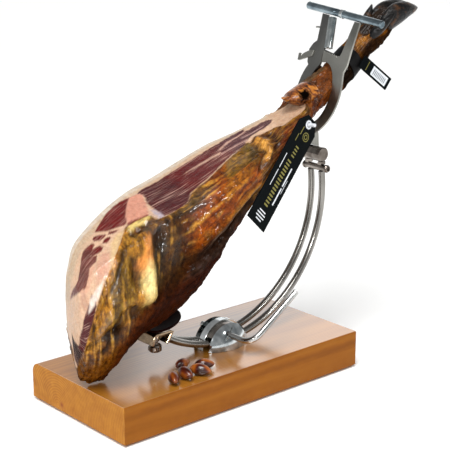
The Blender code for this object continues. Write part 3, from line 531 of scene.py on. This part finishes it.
def shapeAndPaint(mesh):
    count = len(mesh.vertices)
    points = np.empty(count * 3)
    mesh.vertices.foreach_get("co", points)
    points = points.reshape(-1, 3)
    chart = np.empty(count * 3, np.float32)
    mesh.attributes["chart"].data.foreach_get("vector", chart)
    share, degrees = (chart[first::3].astype(float) for first in (0, 1))
    broad = fieldNoise(points, 60, 1)
    medium = fieldNoise(points, 18, 2)
    fine = fieldNoise(points, 6, 3)
    cut = outlineDistance(share, degrees, carvedFace["outline"]) + 1.2 * medium + 0.8 * fine
    lean = np.full(count, -50.0)
    for outline in carvedFace["lean"]:
        lean = np.maximum(lean, outlineDistance(share, degrees, outline))
    lean += 1.0 * medium + 1.1 * fine
    cutShare = fadeIn(cut, 2.4)
    rind = 1 - cutShare
    below = outlineDistance(share, degrees, underside) + 6 * medium
    oil = 1 - 0.9 * fadeIn(below, 26) * rind
    for outline in wetSpots:
        oil += 2.2 * fadeIn(outlineDistance(share, degrees, outline), 12) * fadeIn(medium + 0.1, 0.5)
    oil *= 1 - 0.85 * fadeIn(outlineDistance(share, degrees, dullToe), 14)

    # long wrinkles: round the leg near the butt, along it nearer the shank
    acrossFolds, downFolds = chartStretch
    around = fieldNoise(np.stack([share * acrossFolds / 6, degrees * downFolds / 34, 0 * share], 1) * mm, 1, 5)
    along = fieldNoise(np.stack([share * acrossFolds / 34, degrees * downFolds / 6, 0 * share], 1) * mm, 1, 6)
    turned = fadeIn(share - 4.4, 1.4)
    folds = rind * (around + (along - around) * turned)

    # relief in millimetres along the skin
    relief = rind * (1.7 * medium + 1.1 * fine) + 1.5 * folds + 0.3 * cutShare * medium
    for height, width, line in reliefLines:
        distance = lineDistance(share, degrees, line) + 0.25 * width * medium
        relief += 1.5 * height * np.exp(-(distance / width) ** 2)
    relief += 1.6 * fadeIn(outlineDistance(share, degrees, overTints[0][3]), 3)

    # the cut face is even too, and the rest of the rind is mottled
    calm = cutShare.copy()
    for outline in calmOutlines:
        calm = np.maximum(calm, 0.95 * fadeIn(outlineDistance(share, degrees, outline), 12))

    # rind: mottled gold, olive and brown; painted shade darkens the hollows and a painted highlight brightens the
    # fold crests
    paint = evenTint("#8a5c20", count)
    paint = mixTint(paint, "#5a3c14", fadeIn(broad, 0.5))
    paint = mixTint(paint, "#96661a", 0.5 * fadeIn(medium - 0.1, 0.8))
    paint = layTints(paint, share, degrees, rindTints + shankTints, medium * 0.45)
    crest = relief - 1.3 * medium
    # painted shade in the hollows of the relief
    paint = mixTint(paint, "#2c1606", 0.7 * fadeIn(-crest - 1.4, 2.5))
    paint = mixTint(paint, "#241204", 0.35 * fadeIn(fine - 0.3, 0.6))
    openSkin = (1 - fadeIn(below, 26)) * (1 - calm) * fadeIn(12 - share, 1) * (1 - 0.55 * fadeIn(share - 6.2, 1.5))
    # painted highlight along the fold crests, and painted shade in the fold troughs
    paint = mixTint(paint, "#ecb84a", 0.65 * openSkin * fadeIn(folds - 0.3, 0.4))
    paint = mixTint(paint, "#1e1406", 0.45 * openSkin * fadeIn(-folds - 0.3, 0.4))
    oil += 0.8 * openSkin * fadeIn(folds - 0.35, 0.4)

    # carved face: fat, lean, bone
    face = layTints(evenTint("#dcbca2", count), share, degrees, fatTints, medium * 0.3)
    meat = evenTint("#66100f", count)
    meat = mixTint(meat, "#6c3a34", fadeIn(1.45 - share, 0.4))
    meat = mixTint(meat, "#4a1418", fadeIn(share - 4, 0.2) * fadeIn(5.3 - share, 0.8))
    meat = mixTint(meat, "#5c2022", fadeIn(share - 5.6, 1.2))
    meat = mixTint(meat, "#4c262e", fadeIn(share - 7.2, 0.8))
    meat = mixTint(meat, "#4d1a1c", fadeIn(-60 - degrees, 4))
    meat = meat * (1 + 0.25 * medium + 0.2 * fine)[:, None]
    shown = fadeIn(lean, 1.8)[:, None]
    face = face + (meat - face) * shown
    face = layTints(face, share, degrees, overTints, fine * 0.3)
    paint = paint + (face - paint) * cutShare[:, None]

    normals = np.array([vert.normal[:] for vert in mesh.vertices])
    points = np.clip(points + normals * (relief * mm)[:, None], cadBox[0], cadBox[1])
    mesh.vertices.foreach_set("co", points.ravel())

    tintLayer = mesh.attributes.new("skinTint", "FLOAT_COLOR", "POINT")
    colours = np.concatenate([np.clip(paint, 0, 1), np.ones((count, 1))], 1)
    tintLayer.data.foreach_set("color", colours.astype(np.float32).ravel())
    for name, values in (("oilShare", oil), ("calmShare", calm), ("leanShare", cutShare * shown[:, 0])):
        layer = mesh.attributes.new(name, "FLOAT", "POINT")
        layer.data.foreach_set("value", values.astype(np.float32))
    mesh.update()


# cured leg: oily rind and a sliced face, so a wet gloss over a soft, mottled skin
def curedHam():
    made, shader = newMaterial("curedHam")
    names = ("skinTint", "leanShare", "calmShare", "oilShare", "chart")
    tint, lean, calm, oil, chart = [addNode(made, "Attribute", attribute_name=name).outputs for name in names]
    place = objectSpace(made)
    grain = noiseOf(made, place, 260, 4, Roughness=0.6)
    soft = noiseOf(made, place, 120, 5, Roughness=0.68)
    # streaks of fat run along the muscle: 45 mm long, 1 to 2 mm wide
    along = addNode(made, "Mapping", {"Vector": chart["Vector"], "Scale": (0.8, 0.75, 1)}).outputs["Vector"]
    thread = noiseOf(made, along, 1, 3, Roughness=0.6, Distortion=0.6)
    streak = rampOf(made, thread, [(0.54, 0.0), (0.68, 1.0)])
    streaked = mathOf(made, "MULTIPLY", mathOf(made, "MULTIPLY", streak, lean["Fac"]), 0.62)
    marbled = tintOf(made, streaked, tint["Color"], toLinear("#d9b3a6"))
    shade = rampOf(made, soft, [(0.33, "#5c4630"), (0.46, "#b09c70"), (0.56, "#e8d8b0"), (0.68, "#ffffff")])
    deep = rangeOf(made, calm["Fac"], 0.8, 0.2)
    mottled = tintOf(made, deep, marbled, shade, "MULTIPLY")
    # fine creases 2 to 3 mm wide: round the leg near the butt, along it further up
    split = addNode(made, "SeparateXYZ", {"Vector": chart["Vector"]})
    turned = addNode(made, "MapRange", {"Value": split.outputs["X"], "From Min": 3.8, "From Max": 5.0})
    creases = []
    for scale in ((13, 0.12, 1), (2.2, 0.5, 1)):
        spots = addNode(made, "Mapping", {"Vector": chart["Vector"], "Scale": scale}).outputs["Vector"]
        creases.append(noiseOf(made, spots, 1, 4, Roughness=0.65, Distortion=0.7))
    crease = mixOf(made, turned.outputs["Result"], *creases)
    # painted shade: the crease lines darken the skin's colour
    lined = rampOf(made, crease, [(0.34, "#6e5832"), (0.43, "#e8d4a2"), (0.5, "#ffffff"), (0.62, "#fffbe8")])
    creased = tintOf(made, deep, mottled, lined, "MULTIPLY")
    blush = rampOf(made, grain, [(0.42, "#ffffff"), (0.62, "#d89a84")])
    rindOnly = mathOf(made, "MULTIPLY", crease, deep)
    uneven = mathOf(made, "ADD", mathOf(made, "ADD", grain, soft), rindOnly)
    setSockets(made, shader, {
        "Base Color": tintOf(made, 0.24, creased, blush, "MULTIPLY"),
        "Roughness": rampOf(made, soft, [(0.35, 0.3), (0.65, 0.55)]),
        "Normal": bumpOf(made, uneven, 0.75, 0.0026),
        "Specular IOR Level": mathOf(made, "MULTIPLY", oil["Fac"], 0.14),
        "Coat Weight": mathOf(made, "MULTIPLY", oil["Fac"], 0.26), "Coat Roughness": 0.11,
    })
    return made


hamMaterial = curedHam()
legMesh = buildHamLeg()
shapeAndPaint(legMesh)
finishPiece(legMesh, "arm", hamMaterial, ("ham",))
print("ham leg:", len(legMesh.polygons), "faces")


# metres: where the growth rings centre, the small knot, and the height above which it counts as the top
boardLooks = {"heart": (0, 0.0455, 0.0096), "knot": (-0.21, 0.0358, 0.0128), "top": 0.0545}


# varnished beech: growth rings on the sawn ends, long figure on the top, under a hard clear varnish
def varnishedBeech():
    made, shader = newMaterial("varnishedBeech")
    heart = objectSpace(made, shift=[-way for way in boardLooks["heart"]])
    rings = addNode(made, "TexWave", {"Vector": heart, "Scale": 84, "Distortion": 1.3, "Detail": 2,
                                      "Detail Scale": 0.6}, wave_type="RINGS", rings_direction="X")
    place = objectSpace(made, scale=(0.07, 1, 1))
    figure = noiseOf(made, place, 60, 5, Roughness=0.6, Distortion=0.4)
    both = mixOf(made, 0.22, figure, rings.outputs["Fac"])
    colour = rampOf(made, both, [(0.2, "#905618"), (0.5, "#ab6e20"), (0.8, "#bd802c")])
    spot = objectSpace(made)
    knot = addNode(made, "VectorMath", {0: spot, 1: boardLooks["knot"]}, operation="DISTANCE")
    dark = rampOf(made, knot.outputs["Value"], [(0.0015, 1.0), (0.0045, 0.0)])
    spotted = tintOf(made, dark, colour, toLinear("#7a3020"))
    # painted shade darkens the near long side, and only the top has the gloss
    facing = addNode(made, "SeparateXYZ", {"Vector": addNode(made, "NewGeometry").outputs["Normal"]})
    long = mathOf(made, "LESS_THAN", facing.outputs["Y"], -0.6)
    level = addNode(made, "SeparateXYZ", {"Vector": spot})
    shine = rangeOf(made, mathOf(made, "GREATER_THAN", level.outputs["Z"], boardLooks["top"]), 0.06, 1.0)
    setSockets(made, shader, {
        "Base Color": tintOf(made, long, spotted, (0.64, 0.53, 0.36, 1), "MULTIPLY"), "Roughness": 0.3,
        "Normal": bumpOf(made, noiseOf(made, place, 420, 2), 0.05, 0.0005),
        "Specular IOR Level": shine, "Coat Weight": shine, "Coat Roughness": 0.18, "Coat IOR": 1.9,
    })
    return made


# stainless steel as cut and brushed: long fine scratches and a grey sheen
def brushedSteel(name, tints, roughness):
    made, shader = newMaterial(name)
    scratch = noiseOf(made, objectSpace(made, scale=(1, 1, 0.04)), 700, 3)
    mixed = mixOf(made, 0.15, noiseOf(made, objectSpace(made), 16, 1), scratch)
    setSockets(made, shader, {
        "Base Color": rampOf(made, mixed, [(0.38, tints[0]), (0.62, tints[1])]), "Metallic": 1.0,
        "Roughness": rangeOf(made, scratch, roughness - 0.06, roughness + 0.08),
    })
    return made


# plated metal: mirror-like and faintly clouded; its base colour, clouded between a dark and a bright tint, is painted
# reflection
def nickelPlate(name, tints, roughness):
    made, shader = newMaterial(name)
    cloud = noiseOf(made, objectSpace(made), 48, 2)
    setSockets(made, shader, {
        "Base Color": rampOf(made, cloud, [(0.35, tints[0]), (0.65, tints[1])]), "Metallic": 1.0,
        "Roughness": rangeOf(made, cloud, roughness * 0.6, roughness * 1.5),
    })
    return made


# moulded, painted or printed parts: slightly uneven gloss
def plainFinish(name, tint, roughness, shine=0.5):
    made, shader = newMaterial(name)
    cloud = noiseOf(made, objectSpace(made), 160, 3)
    setSockets(made, shader, {
        "Base Color": toLinear(tint), "Roughness": rangeOf(made, cloud, roughness - 0.08, roughness + 0.1),
        "Normal": bumpOf(made, cloud, 0.1, 0.0004), "Specular IOR Level": shine,
    })
    return made


# acorn shell: polished reddish brown; dark and honey coloured patches laid at random by noise stand as painted light
# and shade
def polishedAcorn():
    made, shader = newMaterial("polishedAcorn")
    cloud = noiseOf(made, objectSpace(made), 60, 0, Distortion=0.6)
    setSockets(made, shader, {
        "Base Color": rampOf(made, cloud, [(0.34, "#2c0b05"), (0.5, "#521a08"), (0.7, "#9c5418")]),
        "Roughness": 0.3, "Specular IOR Level": 0.3, "Coat Weight": 0.6, "Coat Roughness": 0.05,
    })
    return made


jawSteel = brushedSteel("brushedJawSteel", ("#85857f", "#aeada6"), 0.32)
# the far jaw's copy of the same brushed steel, tinted darker as painted shade
shadedFarSteel = brushedSteel("brushedFarSteelShaded", ("#6c6c6b", "#8e8e89"), 0.34)
rodSteel = brushedSteel("drawnRodSteel", ("#85827d", "#a09d98"), 0.2)
leverSteel = brushedSteel("drawnLeverSteel", ("#9d9d9b", "#c4c4c2"), 0.16)
domeNickel = nickelPlate("polishedDomeNickel", ("#8c9396", "#eef3f4"), 0.1)
barZinc = nickelPlate("zincBarSteel", ("#5b6a73", "#9aa9b1"), 0.2)
warmZinc = nickelPlate("zincWarmSteel", ("#5e5650", "#a09890"), 0.16)
bracketZinc = nickelPlate("yellowZincSteel", ("#6e5c4a", "#b49c80"), 0.16)
finNickel = nickelPlate("brightFinNickel", ("#c6cccd", "#f4f7f7"), 0.14)
tubeZinc = nickelPlate("zincTubeSteel", ("#8c979a", "#c8cdcc"), 0.18)
toothShade = plainFinish("darkToothShade", "#0c0c0c", 0.6, 0.05)
bandNylon = plainFinish("blackBandNylon", "#080708", 0.5, 0.15)
cardNavy = plainFinish("laminatedCardNavy", "#05090b", 0.55, 0.05)
padEnamel = plainFinish("darkPadEnamel", "#1c0807", 0.4, 0.03)
tieNylon = plainFinish("whiteTieNylon", "#d8dbe0", 0.4)
acornShell = polishedAcorn()

boardMesh = nodes["board"].data
boardMesh.materials.clear()
boardMesh.materials.append(varnishedBeech())
# part, finish, slot, and how far its edges are eased in millimetres
for name, made, slotName, edge in (
    ("jaw_near", jawSteel, "brushed_steel", 0.45), ("jaw_far", shadedFarSteel, "brushed_steel", 0.45),
    ("release_lever", jawSteel, "brushed_steel", 0.3), ("head_post", jawSteel, "brushed_steel", 0.3),
    ("rest_bracket", bracketZinc, "plated_steel", 0.5), ("rest_bolt", warmZinc, "black_steel", 0.5),
    ("rest_cradle", padEnamel, "black_steel", 0.8), ("dome_fin", finNickel, "plated_steel", 0.5),
    ("jaw_pin", domeNickel, "plated_steel", 0), ("handle_near", barZinc, "brushed_steel", 0),
    ("handle_far", barZinc, "brushed_steel", 0), ("pawl_tube", tubeZinc, "plated_steel", 0.4),
    ("pawl_rod", warmZinc, "plated_steel", 0), ("head_drum", warmZinc, "plated_steel", 0.5),
    ("lower_bar", warmZinc, "plated_steel", 0.2), ("stop_pin", jawSteel, "brushed_steel", 0),
    ("head_spacer_near", warmZinc, "plated_steel", 0.4), ("head_spacer_far", warmZinc, "plated_steel", 0.4),
    ("ankle_band", bandNylon, "black_band", 0.3), ("tag_tie", tieNylon, "white_nylon", 0.2),
    ("ankle_tag", cardNavy, "dark_card", 0), ("shank_tag", cardNavy, "dark_card", 0),
):
    words = name.split("_")
    piece = words[0] + "".join(word.capitalize() for word in words[1:]) + "Shape"
    easedCopy(name, piece, made, edge)
print("metal and card parts eased")

# rods and lever, drawn round and smooth; millimetres, and degrees from straight ahead of the centre
barRuns = {"centre": (23, 255), "radius": 190, "from": -121.35, "to": 7.5, "half": 4.9, "y": (-26, -4)}
for name, y in zip(("rod_near", "rod_far"), barRuns["y"]):
    turns = np.radians(np.linspace(barRuns["from"], barRuns["to"], 60))
    stations = [(barRuns["centre"][0] + barRuns["radius"] * math.cos(t), y,
                 barRuns["centre"][1] + barRuns["radius"] * math.sin(t), barRuns["half"], barRuns["half"])
                for t in turns]
    mesh = pulledRound(name.replace("_n", "N").replace("_f", "F") + "Round", stations, (0, 1, 0), 60)
    finishPiece(mesh, "arm", rodSteel, (name,))

leverBar = {"half": 4.3, "end": (21.5, 17.7, 77.8), "corner": (21.5, -87.5, 77.8), "grip": (104, -87.5, 135),
            "turn": 22}
corner, grip = Vector(leverBar["corner"]), Vector(leverBar["grip"])
arrive, leave = corner + Vector((0, leverBar["turn"], 0)), corner + (grip - corner).normalized() * leverBar["turn"]
path = [Vector(leverBar["end"]).lerp(arrive, t) for t in (0, 0.5, 0.9)]
path += [arrive * (1 - t) ** 2 + corner * 2 * t * (1 - t) + leave * t * t for t in np.linspace(0, 1, 12)]
path += [leave.lerp(grip, t) for t in (0.1, 0.5, 1)]
mesh = pulledRound("lockLeverRound", [(*p, leverBar["half"], leverBar["half"]) for p in path],
                   (grip - corner).normalized().cross(Vector((0, 1, 0))), len(path))
finishPiece(mesh, "lever", leverSteel, ("lock_lever",))

# quarter ellipsoids on both sides of the rods, with a band in the near slot
dome = {"middle": (27.5, -15, 55.3), "radius": 43, "depth": 29.7, "slot": 16.5,
        "bandOuter": 35.4, "bandInner": 33.6, "bandWide": 10.4, "bandReach": 11.1, "bandFoot": 75}


def cutAway(bm, spot, normal):
    whole = bm.verts[:] + bm.edges[:] + bm.faces[:]
    cut = bmesh.ops.bisect_plane(bm, geom=whole, dist=0.001 * mm, plane_co=spot, plane_no=normal, clear_outer=True)
    rim = [item for item in cut["geom_cut"] if isinstance(item, bmesh.types.BMEdge)]
    bmesh.ops.holes_fill(bm, edges=rim)


domeMiddle = Vector(dome["middle"]) * mm
sideways = Matrix.Rotation(math.radians(90), 4, "X")
for name, side in (("near", -1), ("far", 1)):
    bm = bmesh.new()
    size = Matrix.Diagonal((dome["radius"] * mm, dome["depth"] * mm, dome["radius"] * mm, 1))
    place = Matrix.Translation(domeMiddle) @ size @ sideways
    bmesh.ops.create_uvsphere(bm, u_segments=96, v_segments=48, radius=1, matrix=place)
    cutAway(bm, domeMiddle, (0, 0, -1))
    cutAway(bm, domeMiddle + Vector((0, side * dome["slot"] * mm, 0)), (0, -side, 0))
    mesh = meshFrom(bm, "domeCup" + name.capitalize() + "Round", 50)
    finishPiece(mesh, "base", domeNickel, ("dome_cup_" + name,))

bm = bmesh.new()
shift = Vector((0, (dome["bandReach"] + dome["bandWide"] / 2) * mm, 0))
flatRing(bm, dome["bandOuter"], dome["bandInner"], 96, Matrix.Translation(domeMiddle - shift) @ sideways)
grown = bmesh.ops.extrude_face_region(bm, geom=bm.faces[:])["geom"]
bmesh.ops.translate(bm, vec=(0, dome["bandWide"] * mm, 0), verts=vertsOf(grown))
cutAway(bm, (0, 0, dome["bandFoot"] * mm), (0, 0, -1))
finishPiece(meshFrom(bm, "domeBandNear", 50), "base", warmZinc)

# millimetres; each acorn lies at x, y with a heading in degrees and a size
acorns = {
    "length": 29, "girth": 7.8, "level": 55.3, "blunt": 0.88, "full": 0.62,
    "lying": ((-113, -84, -121, 0.98), (-91, -82, -98, 1.05), (-68, -85, -62, 1.05), (-50, -72, -36, 0.95),
              (-71, -51, 9, 0.92)),
}
for number, (x, y, heading, size) in enumerate(acorns["lying"], 1):
    run = Vector((math.cos(math.radians(heading)), math.sin(math.radians(heading)), 0))
    stations = []
    for share in np.linspace(0.002, 0.998, 26):
        half = max(math.sin(math.pi * share ** acorns["blunt"]), 0.0001) ** acorns["full"]
        spot = Vector((x, y, acorns["level"] + acorns["girth"] * size))
        spot += run * acorns["length"] * size * (share - 0.5)
        stations.append((*spot, half * acorns["girth"] * size, half * acorns["girth"] * size))
    mesh = pulledRound("acornShell" + str(number), stations, (0, 0, 1), 26, 28)
    finishPiece(mesh, "base", acornShell, ("acorn_" + str(number),))
print("bars, dome and acorns drawn")

# shade behind the near jaw's teeth and a collar on its bar, in the clamp's own axes and in millimetres
clampLooks = {
    "pin": (203, -6, 340), "lean": 20.8,
    "shade": {"middle": (-1.5, -3.8, 113.2), "turn": 11, "size": (1.6, 25, 2.8)},
    "collar": {"level": 172.2, "slope": 0.0912, "along": (-1, -1.6, -6.4, -7), "half": (5.8, 6.5, 6.5, 5.8)},
}
clamp = Matrix.Translation(Vector(clampLooks["pin"]) * mm)
clamp = clamp @ Matrix.Rotation(math.radians(clampLooks["lean"]), 4, "Y")
shade, collar = clampLooks["shade"], clampLooks["collar"]
bm = bmesh.new()
place = clamp @ Matrix.Translation(Vector(shade["middle"]) * mm)
place = place @ Matrix.Rotation(math.radians(shade["turn"]), 4, "X") @ Matrix.Diagonal((*shade["size"], 1))
bmesh.ops.create_cube(bm, size=mm, matrix=place)
finishPiece(meshFrom(bm, "jawToothShade"), "jaw", toothShade)
spots = [clamp @ (Vector((0, y, collar["level"] + collar["slope"] * y)) * mm) / mm for y in collar["along"]]
stations = [(*spot, half, half) for spot, half in zip(spots, collar["half"])]
mesh = pulledRound("barCollar", stations, clamp.to_3x3() @ Vector((1, 0, 0)), 4, 32, 30)
finishPiece(mesh, "jaw", domeNickel)


# hoof horn: near black, glossy, with fine streaks towards the tip and brown crust in patches
def hoofHorn():
    made, shader = newMaterial("polishedHoofHorn")
    streak = noiseOf(made, objectSpace(made, scale=(0.25, 1, 1)), 320, 4)
    colour = rampOf(made, streak, [(0.4, "#060606"), (0.7, "#1c1a1a")])
    crust = noiseOf(made, objectSpace(made), 70, 4, Roughness=0.7)
    crusted = rampOf(made, crust, [(0.54, 0.0), (0.64, 0.8)])
    setSockets(made, shader, {
        "Base Color": tintOf(made, crusted, colour, toLinear("#50331c")), "Roughness": 0.3,
        "Normal": bumpOf(made, mathOf(made, "ADD", streak, crust), 0.6, 0.0025), "Specular IOR Level": 0.25,
    })
    return made


# where the flap's hollow is, darkened as painted shade, in metres
flapHollow = (0.172, -0.03, 0.398)


# dried skin at the hock: orange brown, wrinkled and oily, with painted shade darkening its hollow
def driedSkin():
    made, shader = newMaterial("driedHockSkin")
    wrinkle = noiseOf(made, objectSpace(made, scale=(1, 0.4, 1)), 150, 5, Distortion=1.2)
    colour = rampOf(made, wrinkle, [(0.35, "#1e0d06"), (0.48, "#74380e"), (0.66, "#b87428")])
    hollow = addNode(made, "VectorMath", {0: objectSpace(made), 1: flapHollow}, operation="DISTANCE")
    reach = mathOf(made, "ADD", hollow.outputs["Value"], mathOf(made, "MULTIPLY", wrinkle, 0.012))
    # painted shade: the hollow is darkened to near black and loses its gloss
    depth = rampOf(made, reach, [(0.0135, 1.0), (0.018, 0.0)])
    gloss = rangeOf(made, depth, 0.3, 0.0)
    setSockets(made, shader, {
        "Base Color": tintOf(made, depth, colour, toLinear("#070403")), "Roughness": 0.3,
        "Normal": bumpOf(made, wrinkle, 0.8, 0.002),
        "Specular IOR Level": gloss, "Coat Weight": gloss, "Coat Roughness": 0.1,
    })
    return made


horn = hoofHorn()
# millimetres, as pulledRound takes them
foot = {
    "clawNear": ((330, -24, 477, 3, 6), (338, -25, 481, 8.5, 13), (358, -25, 493, 11.2, 16.6),
                 (378, -25, 498.5, 11, 13.4), (395, -25, 499.5, 7.4, 7.6), (405, -25, 500, 3, 2.6),
                 (407, -25, 500, 0.4, 0.4)),
    "clawFar": ((330, -2, 477, 3, 6), (338, -1, 481, 8.5, 13), (358, -1, 493, 11.2, 16.6),
                (384, -1, 499, 11, 13.4), (407, -1, 500, 7.4, 7.6), (416, -1, 501, 3, 2.6),
                (418, -1, 501, 0.4, 0.4)),
    "dewclawNear": ((308, -24, 464, 5, 5), (316, -28, 472, 7.6, 7.4), (328, -31, 482, 7, 6.4),
                    (340, -32, 491, 4.6, 4.4), (349, -32.5, 497, 1.8, 1.8), (351, -32.5, 498.3, 0.3, 0.3)),
    "dewclawFar": ((318, 2, 474, 5, 5), (325, 2, 484, 7, 7), (331, 2, 494, 6, 6),
                   (335, 2, 502, 3.4, 3.4), (337, 2, 507, 1.2, 1.2), (337.6, 2, 508, 0.3, 0.3)),
}
for name, stations in foot.items():
    finishPiece(pulledRound(name, stations, (0, 1, 0), 32, 24), "arm", horn)
hockFlap = ((144, -12, 393, 1, 0.6), (146, -12, 393, 4, 1.6), (155, -12, 391, 10, 5), (166, -12, 391, 17, 10),
            (180, -12, 391.5, 21, 14.5), (196, -12, 395, 22, 16), (201, -12, 396, 18, 13))
finishPiece(pulledRound("hockFlap", hockFlap, (0, 1, 0), 30, 32, 60), "arm", driedSkin())
print("hoof and hock added")


# where a hanging card lies: across, down and away from the viewer
def cardPlace(top, bottom):
    down = (Vector(bottom) - Vector(top)).normalized()
    across = down.cross(Vector((0, 1, 0))).normalized()
    turn = Matrix((across, down, across.cross(down))).transposed().to_4x4()
    return Matrix.Translation(Vector(top) * mm) @ turn


# plain printed fields: centre across, centre down, width, length; rings: centre, outer and inner radius
def printFields(name, card, made, fields, rings=(), lift=0.64):
    bm = bmesh.new()
    for across, down, wide, long in fields:
        spot = Matrix.Translation((across * mm, down * mm, -lift * mm)) @ Matrix.Diagonal((wide, long, 1, 1))
        bmesh.ops.create_grid(bm, x_segments=1, y_segments=1, size=0.5 * mm, matrix=card @ spot)
    for across, down, outer, inner in rings:
        flatRing(bm, outer, inner, 36, card @ Matrix.Translation((across * mm, down * mm, -lift * mm)))
    away = card.to_3x3() @ Vector((0, 0, 1))
    for face in bm.faces:
        face.normal_update()
        if face.normal.dot(away) > 0:
            face.normal_flip()
    finishPiece(toMesh(bm, name), "arm", made, smooth=False)


goldFoil = plainFinish("matGoldFoil", "#77702a", 0.4)
whiteInk = plainFinish("flatWhiteInk", "#d9dde2", 0.5)
greyInk = plainFinish("flatGreyInk", "#5b6066", 0.5)
shankCard = cardPlace((150, -60, 362), (33, -80, 244.5))
goldBars = [(0, 62 + 5.2 * step, 8.5, 2.6) for step in range(15)] + [(1, 38 + 5 * step, 7, 2.2) for step in range(4)]
printFields("shankTagGold", shankCard, goldFoil, goldBars + [(-6, 14, 1.4, 13), (-9, 27, 1.2, 12)],
            ((6, 17, 6.6, 5.4), (6, 17, 3.6, 2.4)))
printFields("shankTagWhite", shankCard, whiteInk,
            [(-11.5, 68, 1.3, 24), (-11.5, 96, 1.3, 26), (11, 82, 2.4, 30), (11, 114, 2.4, 28), (14.5, 96, 0.8, 22),
             (0, 145, 14, 1.8), (0, 149.4, 18, 1.8), (0, 153.8, 18, 1.8), (0, 158.2, 12, 1.8)],
            ((0, 0, 6.4, 3.6),))
ankleCard = cardPlace((281, -34, 434), (330, -44, 394))
printFields("ankleTagGold", ankleCard, goldFoil, [(0, 13, 14, 1.1)])
printFields("ankleTagWhite", ankleCard, whiteInk, [(0, 40, 14, 33)])
printFields("ankleTagGrey", ankleCard, greyInk, [(-0.5, 28 + 3 * step, 8.5, 1.3) for step in range(9)], (), 0.7)
print("tags printed")


# plain floor, pale world, soft lights and camera; soft boxes: name, place, size, power
studio = {
    "horizon": 0.42,
    "zenith": 0.2,
    "sun": {"power": 2.85, "angle": 30, "from": (-0.6, -0.45, 1.6)},
    "softBoxes": (
        ("keyLight", (-1.7, -0.9, 1.2), (0.12, 0.12), 9),
        ("frontLight", (0.5, -1.9, 1.2), (0.12, 0.12), 7),
        ("rearPanel", (1.82, 0.97, 0.9), (2.1, 1.0), 6),
        ("glintLight", (-1.35, -1.5, 0.95), (0.07, 0.07), 5),
    ),
    "aim": (-0.05, 0, 0.2),
    "camera": {"lens": 108.06, "sensor": 36, "place": (-1.1404, -1.3751, 0.7505), "turn": -40.85, "tilt": 16.17},
}


def addLight(data, spot, target):
    light = linked(data.name, data)
    light.location = spot
    light.rotation_euler = (Vector(target) - Vector(spot)).to_track_quat("-Z", "Y").to_euler()


def buildStudio():
    bm = bmesh.new()
    bmesh.ops.create_grid(bm, x_segments=1, y_segments=1, size=30)
    floor = linked("studioFloor", toMesh(bm, "studioFloor"))
    floor.location.z = -0.5 * mm
    made, shader = newMaterial("paleFloor")
    setSockets(made, shader, {"Base Color": toLinear("#f8f8f7"), "Roughness": 0.8})
    floor.data.materials.append(made)
    world = bpy.data.worlds.new("studioWorld")
    world.use_nodes = True
    height = addNode(world, "SeparateXYZ", {"Vector": addNode(world, "TexCoord").outputs["Generated"]})
    stops = [(0.0, studio["horizon"]), (0.35, studio["horizon"]), (0.9, studio["zenith"])]
    glow = rampOf(world, height.outputs["Z"], stops)
    setSockets(world, world.node_tree.nodes["Background"], {"Color": glow})
    bpy.context.scene.world = world
    sun = bpy.data.lights.new("sunLight", "SUN")
    sun.energy = studio["sun"]["power"]
    sun.angle = math.radians(studio["sun"]["angle"])
    addLight(sun, studio["sun"]["from"], (0, 0, 0))
    for name, spot, size, power in studio["softBoxes"]:
        box = bpy.data.lights.new(name, "AREA")
        box.shape = "RECTANGLE"
        box.size, box.size_y = size
        box.energy = power
        addLight(box, spot, studio["aim"])
    bpy.context.scene.view_settings.view_transform = "Standard"


def buildCamera():
    view = studio["camera"]
    camera = linked("studioCamera", bpy.data.cameras.new("studioCamera"))
    camera.data.lens, camera.data.sensor_width = view["lens"], view["sensor"]
    camera.location = view["place"]
    camera.rotation_euler = (math.pi / 2 - math.radians(view["tilt"]), 0, math.radians(view["turn"]))
    bpy.context.scene.camera = camera


buildStudio()
buildCamera()
